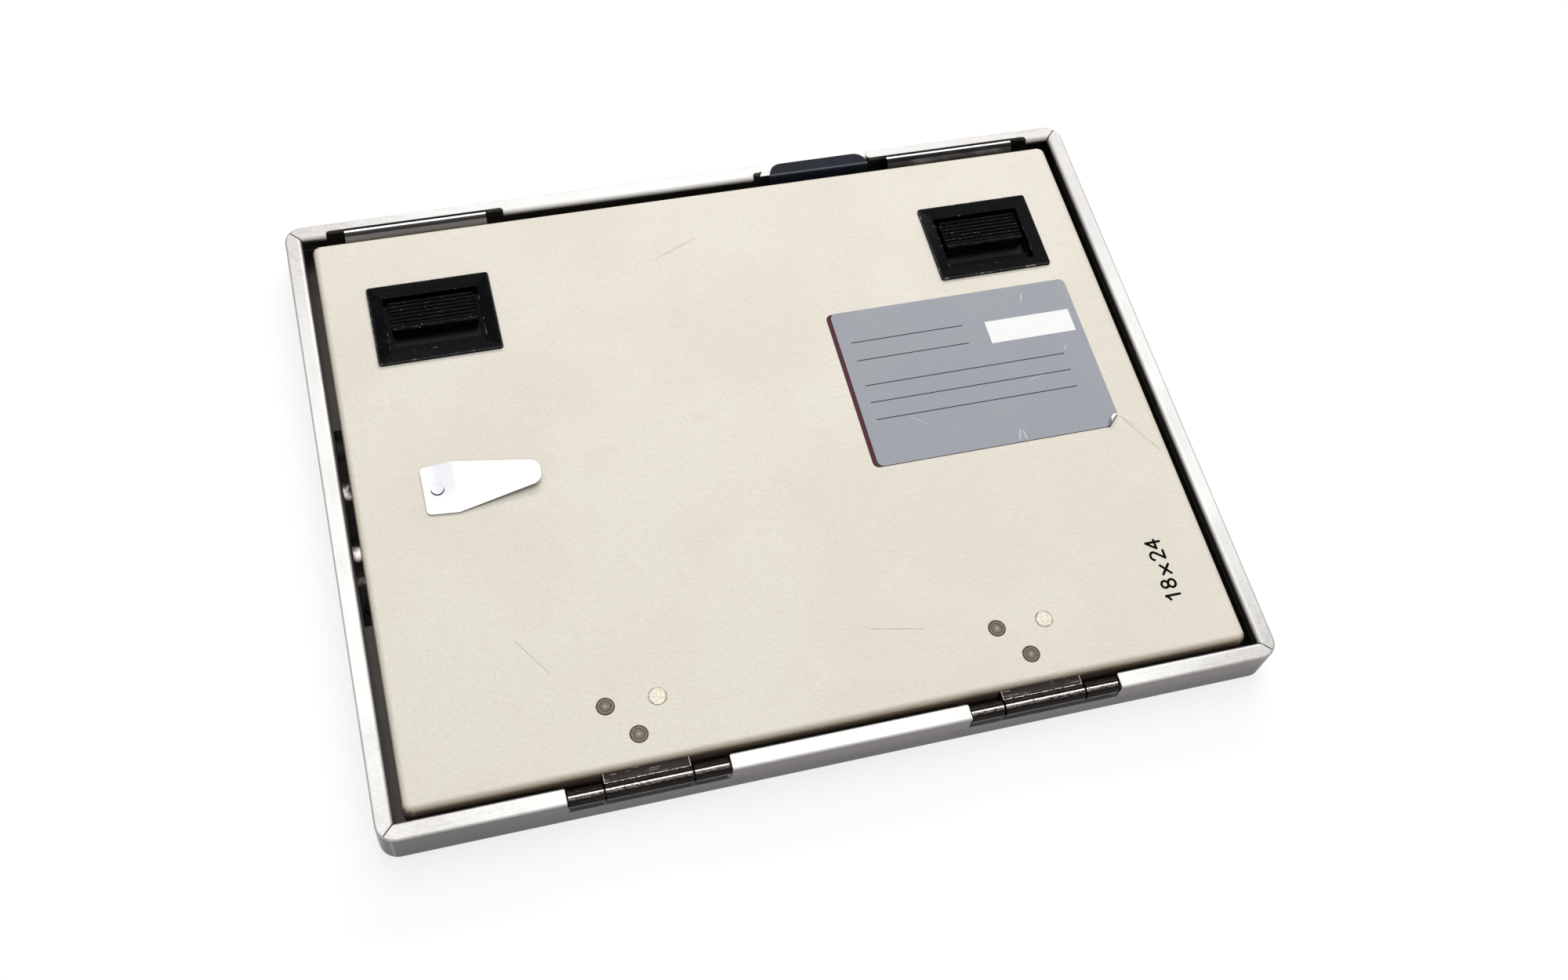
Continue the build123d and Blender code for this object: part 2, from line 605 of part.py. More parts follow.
# ================================================================ latches
for side, sign in SIDES:
    latch_plane = Plane((sign * latch_spacing / 2, latch_y, 0))

    # Bezel: rim on the cover, mitred slopes, and a recess with a slot for the knob.
    with BuildPart() as latch_bezel:
        with BuildSketch(latch_plane.offset(lid_top)):
            RectangleRounded(bezel_length, bezel_width, bezel_corner_radius)
        extrude(amount=bezel_rise)
        fillet(latch_bezel.faces().sort_by(Axis.Z)[-1].edges(), bezel_edge_radius)
        with BuildSketch(latch_plane.offset(floor_bottom)):
            Rectangle(bezel_body_length, bezel_body_width)
        extrude(amount=lid_top - floor_bottom)
        with BuildSketch(latch_plane.offset(slope_bottom)):
            Rectangle(opening_length, opening_width)
        with BuildSketch(latch_plane.offset(bezel_top)):
            Rectangle(opening_length + 2 * bezel_slope, opening_width + 2 * bezel_slope)
        loft(mode=Mode.SUBTRACT)
        with BuildSketch(latch_plane.offset(floor_top)):
            Rectangle(opening_length, opening_width)
        extrude(amount=slope_bottom - floor_top, mode=Mode.SUBTRACT)
        slot_far = knob_far + knob_slot_clearance
        slot_near = knob_near - latch_travel - knob_slot_clearance
        with BuildSketch(latch_plane.offset(floor_bottom)):
            with Locations((0, (slot_far + slot_near) / 2)):
                RectangleRounded(knob_length + 2 * knob_slot_clearance, slot_far - slot_near,
                                 knob_slot_radius)
        extrude(amount=recess_floor, mode=Mode.SUBTRACT)
    latch_bezel.part.label = f"latch_bezel_{side}"
    export_step(latch_bezel.part, f"parts/latch_bezel_{side}.step")

    # Knob: ribs along X for the thumb, and a lip at the near edge.
    knob_plane = Plane((sign * latch_spacing / 2, latch_y, 0), x_dir=(0, 1, 0), z_dir=(1, 0, 0))
    rib_feet = lid_top + knob_rise
    with BuildPart() as latch_knob:
        with BuildSketch(knob_plane.offset(-knob_length / 2)):
            with Locations((knob_near, bolt_top)):
                Rectangle(knob_width, rib_feet - bolt_top, align=(Align.MIN, Align.MIN))
            with Locations((knob_near + knob_lip_radius, rib_feet)):
                Circle(knob_lip_radius)
            first_rib = knob_far - rib_bar_radius
            with Locations([(first_rib - i * rib_bar_pitch, rib_feet)
                            for i in range(rib_bar_count)]):
                Circle(rib_bar_radius)
        extrude(amount=knob_length)
        with BuildSketch(latch_plane.offset(bolt_top)):
            with Locations((0, (knob_near + knob_far) / 2)):
                RectangleRounded(knob_length, knob_width, knob_slot_radius - knob_slot_clearance)
        extrude(amount=bezel_top - bolt_top, mode=Mode.INTERSECT)
        screw_spots = [(s * screw_spacing / 2, (knob_near + knob_far) / 2) for s in (-1, 1)]
        with BuildSketch(latch_plane.offset(bolt_top)):
            with Locations(screw_spots):
                Circle(screw_radius + screw_clearance)
        extrude(amount=screw_depth + screw_clearance, mode=Mode.SUBTRACT)
    latch_knob.part.label = f"latch_knob_{side}"
    export_step(latch_knob.part, f"parts/latch_knob_{side}.step")

    # Bolt: tail plate under the bezel, tongue to the keeper, and a lug for the spring.
    with BuildPart() as latch_bolt:
        tail_far = knob_far + knob_slot_clearance
        tip = bolt_tip - latch_y
        with BuildSketch(latch_plane.offset(bolt_bottom)):
            with Locations((0, (tail_far + lug_near) / 2)):
                Rectangle(bolt_tail_width, tail_far - lug_near)
            with Locations((0, (tip + lug_near) / 2)):
                Rectangle(bolt_width, tip - lug_near)
        extrude(amount=bolt_thickness)
        tip_edge = latch_bolt.edges().group_by(Axis.Y)[-1].sort_by(Axis.Z)[0]
        chamfer(tip_edge, bolt_tip_chamfer)
        with BuildSketch(latch_plane.offset(bolt_top)):
            with Locations((0, (lug_far + lug_near) / 2)):
                Rectangle(bolt_lug_width, bolt_lug_thickness)
        extrude(amount=lug_top - bolt_top)
        with BuildSketch(latch_plane.offset(bolt_bottom)):
            with Locations(screw_spots):
                Circle(screw_radius + screw_clearance)
        extrude(amount=bolt_thickness, mode=Mode.SUBTRACT)
        with BuildSketch(latch_plane.offset(bolt_bottom)):
            with Locations(screw_spots):
                Circle(screw_head_radius + screw_clearance)
        extrude(amount=screw_head_height, mode=Mode.SUBTRACT)
    latch_bolt.part.label = f"latch_bolt_{side}"
    export_step(latch_bolt.part, f"parts/latch_bolt_{side}.step")

    # Two flat-head screws hold the knob to the bolt.
    with BuildPart() as latch_screws:
        for height, radius in ((bolt_thickness + screw_depth, screw_radius),
                               (screw_head_height, screw_head_radius)):
            with BuildSketch(latch_plane.offset(bolt_bottom)):
                with Locations(screw_spots):
                    Circle(radius)
            extrude(amount=height)
    latch_screws.part.label = f"latch_screws_{side}"
    export_step(latch_screws.part, f"parts/latch_screws_{side}.step")

    # Guide for the tongue, between cover and tray, and the seat behind the spring.
    with BuildPart() as bolt_guide:
        guide_y = lid_far_edge - latch_y - guide_inset - guide_length / 2
        with BuildSketch(latch_plane.offset(tray_top)):
            with Locations((0, guide_y)):
                Rectangle(bolt_slot + 2 * guide_wall, guide_length)
        extrude(amount=lid_underside - tray_top)
        with BuildSketch(latch_plane.offset(tray_top)):
            with Locations((0, guide_y)):
                Rectangle(bolt_slot, guide_length)
        extrude(amount=bolt_top + bolt_slot_clearance - tray_top, mode=Mode.SUBTRACT)
    bolt_guide.part.label = f"bolt_guide_{side}"
    export_step(bolt_guide.part, f"parts/bolt_guide_{side}.step")

    with BuildPart() as spring_seat:
        with BuildSketch(latch_plane.offset(tray_top)):
            with Locations((0, seat_far - seat_thickness / 2)):
                Rectangle(seat_width, seat_thickness)
        extrude(amount=lid_underside - tray_top)
    spring_seat.part.label = f"spring_seat_{side}"
    export_step(spring_seat.part, f"parts/spring_seat_{side}.step")

    # Return spring between seat and lug.
    with BuildPart() as latch_spring:
        coil_length = spring_length - 2 * spring_wire_radius
        start = (sign * latch_spacing / 2, latch_y + seat_far + spring_wire_radius,
                 spring_axis_height)
        with BuildLine():
            coil = Helix(coil_length / spring_turns, coil_length, spring_radius,
                         center=start, direction=(0, 1, 0))
        with BuildSketch(Plane(coil @ 0, z_dir=coil % 0)):
            Circle(spring_wire_radius)
        sweep()
    latch_spring.part.label = f"latch_spring_{side}"
    export_step(latch_spring.part, f"parts/latch_spring_{side}.step")

# ================================================================ edge tab
with BuildPart() as edge_tab:
    tab_bottom = frame_height - tab_height
    with BuildSketch(Plane.XY.offset(tab_bottom)) as tab_outline:
        with Locations((tab_middle, far_face - tab_inset - tab_depth / 2)):
            Rectangle(tab_length, tab_depth)
        fillet(tab_outline.vertices().group_by(Axis.Y)[-1], tab_corner_radius)
    extrude(amount=tab_height)
    with BuildSketch(Plane.XY.offset(shelf_top)):
        with Locations((tab_middle, wall_inside_far - tab_foot_thickness / 2)):
            Rectangle(tab_foot_length, tab_foot_thickness)
    extrude(amount=tab_bottom - shelf_top)
edge_tab.part.label = "edge_tab"
export_step(edge_tab.part, "parts/edge_tab.step")

# ================================================================ lift springs
wave_start = lift_near + lift_spring_foot
wave_length = lift_spring_length - lift_spring_foot
WAVE_POINTS = 4              # spline points to each wave


def wave_line(height):
    """Flat foot, then the waves, as one line at the given height over the shelf."""
    count = WAVE_POINTS * lift_spring_waves
    points = [(wave_start + wave_length * i / count,
               height + lift_spring_rise * sin(pi * lift_spring_waves * i / count) ** 2)
              for i in range(count + 1)]
    foot = Line((lift_near, height), points[0])
    waves = Spline(points, tangents=((1, 0), (1, 0)))
    return foot @ 0, waves @ 1


for side, sign in SIDES:
    side_plane = Plane((sign * lift_spring_x, 0, 0), x_dir=(0, 1, 0), z_dir=(1, 0, 0))
    with BuildPart() as lift_spring:
        with BuildSketch(side_plane.offset(-lift_spring_width / 2)):
            with BuildLine():
                low_start, low_end = wave_line(shelf_top)
                high_start, high_end = wave_line(shelf_top + lift_spring_sheet)
                Line(low_start, high_start)
                Line(low_end, high_end)
            make_face()
        extrude(amount=lift_spring_width)
        with Locations((sign * lift_spring_x, lift_rivet_y, shelf_top + lift_spring_sheet)):
            Hole(lift_shank_radius + rivet_shank_clearance, 2 * lift_spring_sheet)
    lift_spring.part.label = f"lift_spring_{side}"
    export_step(lift_spring.part, f"parts/lift_spring_{side}.step")

lift_rivet_spots = [(side * lift_spring_x, lift_rivet_y) for _, side in SIDES]
with BuildPart() as lift_spring_rivets:
    with BuildSketch(Plane.XY.offset(shelf_top + lift_spring_sheet)):
        with Locations(lift_rivet_spots):
            Circle(lift_rivet_radius)
    extrude(amount=lift_rivet_height)
    rivet_crowns = lift_spring_rivets.faces().group_by(Axis.Z)[-1].edges()
    fillet(rivet_crowns, lift_rivet_height / 2)
    with BuildSketch(Plane.XY.offset(shelf_bottom)):
        with Locations(lift_rivet_spots):
            Circle(lift_shank_radius)
    extrude(amount=shelf_thickness + lift_spring_sheet)
lift_spring_rivets.part.label = "lift_spring_rivets"
export_step(lift_spring_rivets.part, "parts/lift_spring_rivets.step")

# ================================================================ card clip
clip_x, clip_y = clip_middle
clip_back_x = clip_x - clip_back
with BuildPart() as id_clip:
    # Side view: flat base and a tongue that rises to its tip.
    with BuildSketch(Plane.XZ.offset(-clip_y - clip_shoulder_width)):
        with BuildLine():
            Polyline(
                (clip_back_x, lid_top),
                (clip_back_x + clip_base_length, lid_top),
                (clip_back_x + clip_length, lid_top + clip_lift),
                (clip_back_x + clip_length, lid_top + clip_lift + clip_sheet),
                (clip_back_x + clip_base_length, lid_top + clip_sheet),
                (clip_back_x, lid_top + clip_sheet),
                close=True,
            )
        make_face()
    extrude(amount=2 * clip_shoulder_width)
    # Plan view: wide base, narrowing to a round tip.
    with BuildSketch(Plane.XY.offset(lid_top)) as clip_plan:
        with BuildLine():
            Polyline(
                (clip_back_x, clip_y - clip_base_width / 2),
                (clip_back_x + clip_base_length, clip_y - clip_shoulder_width / 2),
                (clip_back_x + clip_length, clip_y - clip_tip_width / 2),
                (clip_back_x + clip_length, clip_y + clip_tip_width / 2),
                (clip_back_x + clip_base_length, clip_y + clip_shoulder_width / 2),
                (clip_back_x, clip_y + clip_base_width / 2),
                close=True,
            )
        make_face()
        fillet(clip_plan.vertices().group_by(Axis.X)[-1], clip_tip_radius)
        fillet(clip_plan.vertices().group_by(Axis.X)[0], clip_corner_radius)
    extrude(amount=clip_lift + 2 * clip_sheet, mode=Mode.INTERSECT)
    with BuildSketch(Plane.XY.offset(lid_top)):
        with Locations(clip_middle):
            Circle(clip_shank_radius + rivet_shank_clearance)
    extrude(amount=clip_sheet, mode=Mode.SUBTRACT)
id_clip.part.label = "id_clip"
export_step(id_clip.part, "parts/id_clip.step")

with BuildPart() as id_clip_rivet:
    with BuildSketch(Plane.XY.offset(lid_top + clip_sheet)):
        with Locations(clip_middle):
            Circle(clip_rivet_radius)
    extrude(amount=clip_rivet_height)
    fillet(id_clip_rivet.faces().sort_by(Axis.Z)[-1].edges(), clip_rivet_height / 2)
    with BuildSketch(Plane.XY.offset(lid_underside)):
        with Locations(clip_middle):
            Circle(clip_shank_radius)
    extrude(amount=lid_sheet + clip_sheet)
    with BuildSketch(Plane.XY.offset(lid_underside - rivet_tail_height)):
        with Locations(clip_middle):
            Circle(clip_tail_radius)
    extrude(amount=rivet_tail_height)
id_clip_rivet.part.label = "id_clip_rivet"
export_step(id_clip_rivet.part, "parts/id_clip_rivet.step")
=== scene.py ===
"""Looks of the x-ray film cassette: camera, light, finishes and the pieces that only show.

The scene is in metres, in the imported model's frame. Named places and sizes, and the coordinates
that a finish works with, are in millimetres.
"""
import json
from math import atan2, cos, hypot, pi, radians, sin

import bmesh
import bpy
from mathutils import Matrix, Vector


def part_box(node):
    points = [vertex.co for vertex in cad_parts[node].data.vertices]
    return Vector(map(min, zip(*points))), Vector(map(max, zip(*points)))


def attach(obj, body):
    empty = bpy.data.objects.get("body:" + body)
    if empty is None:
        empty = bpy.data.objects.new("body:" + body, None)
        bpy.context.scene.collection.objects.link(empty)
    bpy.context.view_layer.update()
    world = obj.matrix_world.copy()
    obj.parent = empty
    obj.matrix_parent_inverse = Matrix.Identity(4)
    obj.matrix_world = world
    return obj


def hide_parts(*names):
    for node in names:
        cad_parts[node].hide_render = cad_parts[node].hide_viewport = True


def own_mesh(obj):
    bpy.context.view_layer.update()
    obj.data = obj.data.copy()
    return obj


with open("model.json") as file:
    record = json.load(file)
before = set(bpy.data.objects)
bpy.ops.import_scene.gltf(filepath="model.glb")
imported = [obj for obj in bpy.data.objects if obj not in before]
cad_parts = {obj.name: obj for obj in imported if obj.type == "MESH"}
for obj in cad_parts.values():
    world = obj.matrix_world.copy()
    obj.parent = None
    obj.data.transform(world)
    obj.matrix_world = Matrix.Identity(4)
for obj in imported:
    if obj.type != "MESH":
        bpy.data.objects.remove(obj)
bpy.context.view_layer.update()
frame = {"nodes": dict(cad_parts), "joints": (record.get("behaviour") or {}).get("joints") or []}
cad = frame["nodes"]
MM = 0.001
TINY = 1e-7

# Places and half sizes on the object as x and y; the hinge pins' axis is y and z.
FRAME_HALF = (133.5, 104.0)
LID_HALF = (125.6, 96.6)
LID_MIDDLE_Y = -0.6
LID_TOP = 14.8
HINGE_X = 58.8
HINGE_AXIS = (-101.5, 11.7)
LATCH = (92.0, 61.0)
BEZEL_RIM = (18.95, 14.45)
BEZEL_WELL = (15.1, 10.6)
CLIP = (-100.8, -0.2)
NUMERALS = (110.7, -69.9)
# Left, right, near and far edge of the label and of its writing field.
LABEL = (32.0, 113.5, -18.2, 39.8)
FIELD = (81.6, 110.9, 19.2, 27.7)


def paint(red, green, blue, factor=1.0, lift=0.0):
    """Linear colour for a shader from the 0 to 255 values it should show, then scaled and lifted."""
    linear = [v / 255 / 12.92 if v < 11 else ((v / 255 + 0.055) / 1.055) ** 2.4
              for v in (red, green, blue)]
    return (*(min(1, channel * factor + lift) for channel in linear), 1)


class Nodes:
    """A node tree and the few words it is written in; masks and shares go from 0 to 1."""

    def __init__(self, tree):
        self.tree = tree

    def node(self, kind, settings=None, numbered=None, **named):
        """New node with its settings and what feeds its inputs, by number or by name."""
        made = self.tree.nodes.new("ShaderNode" + kind)
        for key, value in (settings or {}).items():
            setattr(made, key, value)
        for socket, value in (numbered or {}).items():
            self.feed(made, socket, value)
        for socket, value in named.items():
            self.feed(made, socket.replace("_", " "), value)
        return made

    def feed(self, made, socket, value):
        """Link an input to another node's output, or set it."""
        if isinstance(value, bpy.types.NodeSocket):
            self.tree.links.new(value, made.inputs[socket])
        else:
            made.inputs[socket].default_value = value

    def math(self, what, a, b=0.0):
        return self.node("Math", {"operation": what}, {0: a, 1: b}).outputs[0]

    def plus(self, a, b):
        return self.math("ADD", a, b)

    def minus(self, a, b):
        return self.math("SUBTRACT", a, b)

    def times(self, a, b):
        return self.math("MULTIPLY", a, b)

    def absolute(self, a):
        return self.math("ABSOLUTE", a)

    def distance(self, a, b):
        """Distance from the place where a and b are 0."""
        return self.math("SQRT", self.plus(self.math("POWER", a, 2), self.math("POWER", b, 2)))

    def step(self, value, low, high):
        """0 below low, 1 above high, smooth between; low may be the larger."""
        return self.node("MapRange", {"interpolation_type": "SMOOTHSTEP"},
                         Value=value, From_Min=low, From_Max=high).outputs[0]

    def between(self, value, low, high, soft):
        """1 from low to high, with edges twice as wide as soft."""
        return self.times(self.step(value, low - soft, low + soft),
                          self.step(value, high + soft, high - soft))

    def both(self, *masks):
        result = masks[0]
        for mask in masks[1:]:
            result = self.times(result, mask)
        return result

    def either(self, *masks):
        result = masks[0]
        for mask in masks[1:]:
            result = self.math("MAXIMUM", result, mask)
        return result

    def level(self, share, first, second):
        """A number that goes from first to second with share."""
        return self.node("MapRange", Value=share, To_Min=first, To_Max=second).outputs[0]

    def choose(self, share, first, second):
        """One of two values, or what lies between them."""
        return self.node("Mix", None, {0: share, 2: first, 3: second}).outputs[0]

    def mix(self, share, first, second):
        """A colour that goes from first to second with share."""
        return self.node("Mix", {"data_type": "RGBA"}, {0: share, 6: first, 7: second}).outputs[2]

    def coat(self, tone, mask, share, colour):
        """Lay a colour over tone where mask is, by no more than share."""
        return self.mix(self.times(mask, share), tone, colour)

    def brightness(self, lit, seen):
        """Seen where the surroundings are looked at, directly, in metal or through glass; else lit."""
        rays = self.node("LightPath").outputs
        looked_at = self.either(rays["Is Camera Ray"], rays["Is Glossy Ray"], rays["Is Transmission Ray"])
        return self.level(looked_at, lit, seen)


class Finish(Nodes):
    """A Principled material whose textures are placed on the object in millimetres."""

    def __init__(self, name, colour, roughness, metallic=0.0, specular=0.5):
        self.material = bpy.data.materials.new(name)
        self.material.use_nodes = True
        super().__init__(self.material.node_tree)
        self.shader = self.tree.nodes["Principled BSDF"]
        self.set("Base Color", colour)
        self.set("Roughness", roughness)
        self.set("Metallic", metallic)
        self.set("Specular IOR Level", specular)
        where = self.node("TexCoord").outputs["Object"]
        self.mm = self.node("Mapping", Vector=where, Scale=(1000, 1000, 1000)).outputs[0]
        self.x, self.y, self.z = self.node("SeparateXYZ", Vector=self.mm).outputs

    def set(self, socket, value):
        self.feed(self.shader, socket, value)

    def stretched(self, scale, shift):
        return self.node("Mapping", Vector=self.mm, Scale=scale, Location=shift).outputs[0]

    def noise(self, size, detail=2.0, rough=0.5, stretch=(1, 1, 1), shift=(0, 0, 0)):
        """Cloudy value 0 to 1 whose blots are about size across; a stretch below 1 draws them out."""
        where = self.stretched(tuple(s / size for s in stretch), shift)
        return self.node("TexNoise", Vector=where, Scale=1.0, Detail=detail, Roughness=rough).outputs["Fac"]

    def cells(self, size, feature="F1", shift=(0, 0, 0)):
        """Distance to the nearest of scattered points about size apart."""
        where = self.stretched((1 / size,) * 3, shift)
        return self.node("TexVoronoi", {"feature": feature}, Vector=where, Scale=1.0).outputs["Distance"]

    def scratches(self, *lines):
        """Mask of straight scratches seen from above, each x, y to x, y and a width, with thin ends."""
        masks = []
        for x0, y0, x1, y1, width in lines:
            length = hypot(x1 - x0, y1 - y0)
            turned = self.node("Mapping", {"vector_type": "TEXTURE"}, Vector=self.mm, Location=(x0, y0, 0),
                               Rotation=(0, 0, atan2(y1 - y0, x1 - x0))).outputs[0]
            along, across, _ = self.node("SeparateXYZ", Vector=turned).outputs
            reach = self.between(along, length * 0.08, length * 0.92, length * 0.08)
            masks.append(self.both(reach, self.step(self.absolute(across), width, width * 0.3)))
        return self.either(*masks)

    def eased(self, radius):
        """Normal that rounds sharp moulded or folded edges."""
        return self.node("Bevel", {"samples": 4}, Radius=radius * MM).outputs[0]

    def bump(self, height, depth, normal=None):
        """Surface relief of about depth."""
        made = self.node("Bump", Height=height, Distance=depth * MM, Strength=1.0)
        if normal is not None:
            self.feed(made, "Normal", normal)
        return made.outputs[0]

    def done(self, tone, relief, roughness=None):
        """Give the shader its colour, its relief and, where it varies, its roughness."""
        self.set("Base Color", tone)
        self.set("Normal", relief)
        if roughness is not None:
            self.set("Roughness", roughness)
        return self.material


# ================================================================ finishes: metal
def channel_aluminium():
    """Satin aluminium channel: drawn grain, painted shade greyer to the far right, frosted towards its
    corners, with painted shade on its outer walls and inside.
    """
    f = Finish("channel_aluminium", paint(178, 177, 175), 0.4, metallic=1.0)
    half_x, half_y = FRAME_HALF
    width = f.absolute(f.x)
    depth = f.absolute(f.y)
    on_short_rail = f.math("GREATER_THAN", f.minus(width, half_x), f.minus(depth, half_y))

    def along_rail(size, detail, rough, pull, shift=(0, 0, 0)):
        """Noise drawn out along each rail, changing direction at the mitres."""
        return f.choose(on_short_rail, f.noise(size, detail, rough, (pull, 1, 1), shift),
                        f.noise(size, detail, rough, (1, pull, 1), shift))

    grain = along_rail(0.22, 3, 0.6, 0.03)
    cloud = f.noise(14, 3)
    fine = f.noise(0.35, 2, 0.7)
    tone = f.mix(f.step(cloud, 0.35, 0.7), paint(181, 180, 178), paint(173, 172, 170))
    # Painted shade: greyer towards the far side, most of all to the far right.
    painted_far_shade = f.times(f.step(f.y, -70, 60), 0.3)
    painted_far_right_shade = f.times(f.both(f.step(f.x, 0, 133), f.step(f.y, 10, 104)), 0.7)
    tone = f.mix(f.plus(painted_far_shade, painted_far_right_shade), tone, paint(148, 146, 145))
    tone = f.mix(f.level(grain, 0.0, 0.18), tone, paint(148, 147, 147))
    tone = f.coat(tone, f.step(fine, 0.54, 0.74), 0.4, paint(152, 151, 150))
    # Frosted skin: faint all over, plainer towards the corners, least at the near left one.
    corner = f.both(f.step(width, 84, 130), f.step(depth, 50, 102),
                    f.either(f.step(f.x, -40, 0), f.step(f.y, 0, 40)))
    near_left = f.both(f.step(f.x, -78, -126), f.step(f.y, -56, -100))
    corner = f.either(corner, f.times(near_left, 0.62))
    blot = f.step(f.noise(26, 2, shift=(2, 9, 0)), 0.45, 0.65)
    worn = f.level(f.plus(corner, f.times(blot, 0.35)), 0.12, 0.95)
    tone = f.coat(tone, corner, 0.6, paint(154, 151, 149))
    mottle = f.noise(0.6, 4, 0.8, shift=(6, 2, 8))
    coarse = f.noise(2.2, 4, 0.75, shift=(1, 8, 3))
    tone = f.mix(f.both(f.step(mottle, 0.42, 0.68), worn), tone, paint(150, 148, 144))
    blotched = f.both(f.step(coarse, 0.46, 0.74), worn, f.level(corner, 0.2, 0.55))
    tone = f.mix(blotched, tone, paint(136, 133, 130))
    rubs = along_rail(0.3, 2, 0.55, 0.02, shift=(7, 3, 0))
    rubs = f.both(f.step(rubs, 0.64, 0.7), worn)
    tone = f.coat(tone, rubs, 0.35, paint(112, 108, 106))
    # Knocks: small dark pits, thicker near the corners.
    pits = f.step(f.cells(1.7, shift=(3.1, 1.7, 0.4)), 0.11, 0.06)
    where = f.step(f.plus(f.noise(9, 2, shift=(5, 2, 0)), f.level(corner, 0.0, 0.12)), 0.6, 0.68)
    pits = f.both(pits, where)
    tone = f.coat(tone, pits, 0.75, paint(84, 80, 78))
    # Outer walls carry painted shade, darker than the flange, the near one most of all: darker towards its
    # bottom and its left end, and mottled. All walls are darker in patches along their bottom 3 mm.
    bent_corner = f.both(f.step(width, half_x - 4, half_x - 3), f.step(depth, half_y - 4, half_y - 3))
    outer = f.either(f.step(width, half_x - 0.4, half_x - 0.1), f.step(depth, half_y - 0.4, half_y - 0.1),
                     bent_corner)
    painted_wall_shade = f.both(outer, f.step(f.z, 14.3, 13.6))
    tone = f.coat(tone, painted_wall_shade, 0.85, paint(128, 125, 123))
    near_bend = f.both(bent_corner, f.step(f.y, 3.6 - half_y, 1.4 - half_y))
    near_wall = f.both(f.either(f.step(f.y, 0.45 - half_y, 0.15 - half_y), near_bend),
                       f.step(f.z, 14.5, 13.9))
    # Noise that mottles the near wall's painted shade.
    blotches = f.level(f.step(f.noise(0.5, 3, 0.8, shift=(3, 3, 5)), 0.35, 0.7), 0.75, 1.0)
    shade = f.mix(f.step(f.z, 12.5, 2.5), paint(112, 108, 106), paint(80, 77, 75))
    shade = f.coat(shade, f.step(f.x, -20, -120), 0.6, paint(70, 67, 65))
    tone = f.mix(f.both(near_wall, blotches), tone, shade)
    low = f.step(f.z, 3.0, 0.2)
    tone = f.coat(tone, f.both(low, f.noise(4, 3)), 0.55, paint(96, 94, 92))
    # Painted shade: the channel's inside, in the gap between frame and lid, is darkened, lighter to the
    # left than to the right.
    inside = f.both(f.step(f.z, 12.9, 12.2), f.step(f.z, 0.2, 0.4),
                    f.step(width, half_x - 1.2, half_x - 1.9), f.step(depth, half_y - 1.2, half_y - 1.9))
    painted_gap_shade = f.mix(f.step(f.x, -40, 40), paint(48, 44, 40), paint(16, 15, 14))
    tone = f.coat(tone, inside, 0.94, painted_gap_shade)
    relief = f.plus(f.times(grain, 0.5), f.times(fine, 0.5))
    relief = f.minus(relief, f.times(f.plus(pits, rubs), 1.6))
    relief = f.minus(relief, f.times(f.times(mottle, worn), 3.0))
    return f.done(tone, f.bump(relief, 0.012, f.eased(0.25)),
                  f.plus(f.level(grain, 0.34, 0.46), f.times(pits, 0.2)))


def blackened_spring():
    """Blackened spring steel with painted glints in bands just behind its crests."""
    f = Finish("blackened_spring", paint(24, 22, 22), 0.18, metallic=1.0)
    smear = f.noise(3.2, 2, 0.5, stretch=(1, 0.6, 1), shift=(1, 7, 3))
    along = f.plus(f.y, f.times(smear, 3))
    # Painted glints: pale bands along the spring, broken up by the smear.
    pale_marks = f.either(f.between(along, 9.3, 12.3, 1.6), f.between(along, -11.8, -9.6, 1.4),
                      f.times(f.between(along, 2.3, 4.3, 1.2), 0.4),
                      f.times(f.between(along, -21, -19, 1), 0.5))
    pale_marks = f.both(pale_marks, f.step(smear, 0.34, 0.56), f.step(f.z, 5.2, 5.8))
    tone = f.mix(f.step(smear, 0.35, 0.7), paint(16, 14, 14), paint(8, 7, 7))
    tone = f.mix(pale_marks, tone, paint(190, 181, 173))
    return f.done(tone, f.bump(smear, 0.01, f.eased(0.15)), f.level(smear, 0.14, 0.26))


def clip_steel():
    """Mirror steel with a painted duller reflection where the tongue is bent up, a painted shadow on the
    rivet's near rim and painted shade on the sheet's edges.
    """
    f = Finish("clip_steel", paint(172, 172, 174), 0.08, metallic=1.0)
    x = f.minus(f.x, CLIP[0])
    y = f.minus(f.y, CLIP[1])
    drawn = f.noise(0.2, 3, 0.6, stretch=(0.05, 1, 1))
    sheen = f.noise(4, 3, 0.6, shift=(2, 3, 0))
    # Painted reflection: duller where the tongue is bent up.
    painted_bend_reflection = f.both(f.step(x, -3.4, 0.6), f.step(x, 6.2, 5.1),
                  f.step(f.plus(y, f.times(sheen, 5)), -5.5, 2.5))
    # Painted shadow: a dark line round the near side of the rivet.
    line = f.both(f.between(f.distance(x, y), 1.8, 2.12, 0.06), f.step(y, 0.4, -0.6))
    # Painted shade on the faces that turn sideways: the sheet's edges.
    facing = f.node("SeparateXYZ", Vector=f.node("TexCoord").outputs["Normal"]).outputs["Z"]
    tone = f.coat(paint(172, 172, 174), painted_bend_reflection, 0.85, paint(147, 148, 151))
    tone = f.coat(tone, line, 0.9, paint(44, 42, 40))
    tone = f.coat(tone, f.step(facing, 0.6, 0.3), 0.75, paint(92, 86, 78))
    return f.done(tone, f.bump(drawn, 0.003), f.level(drawn, 0.05, 0.13))


def plain_steel(name, colour=(150, 150, 152), rough=0.36):
    """Drawn steel, slightly clouded."""
    f = Finish(name, paint(*colour), rough, metallic=1.0)
    drawn = f.noise(0.25, 3, 0.6, stretch=(1, 0.08, 1))
    cloud = f.noise(5, 3)
    tone = f.mix(f.step(cloud, 0.35, 0.75), paint(*colour), paint(*colour, 0.62))
    return f.done(tone, f.bump(drawn, 0.01, f.eased(0.12)), f.level(drawn, rough - 0.06, rough + 0.12))


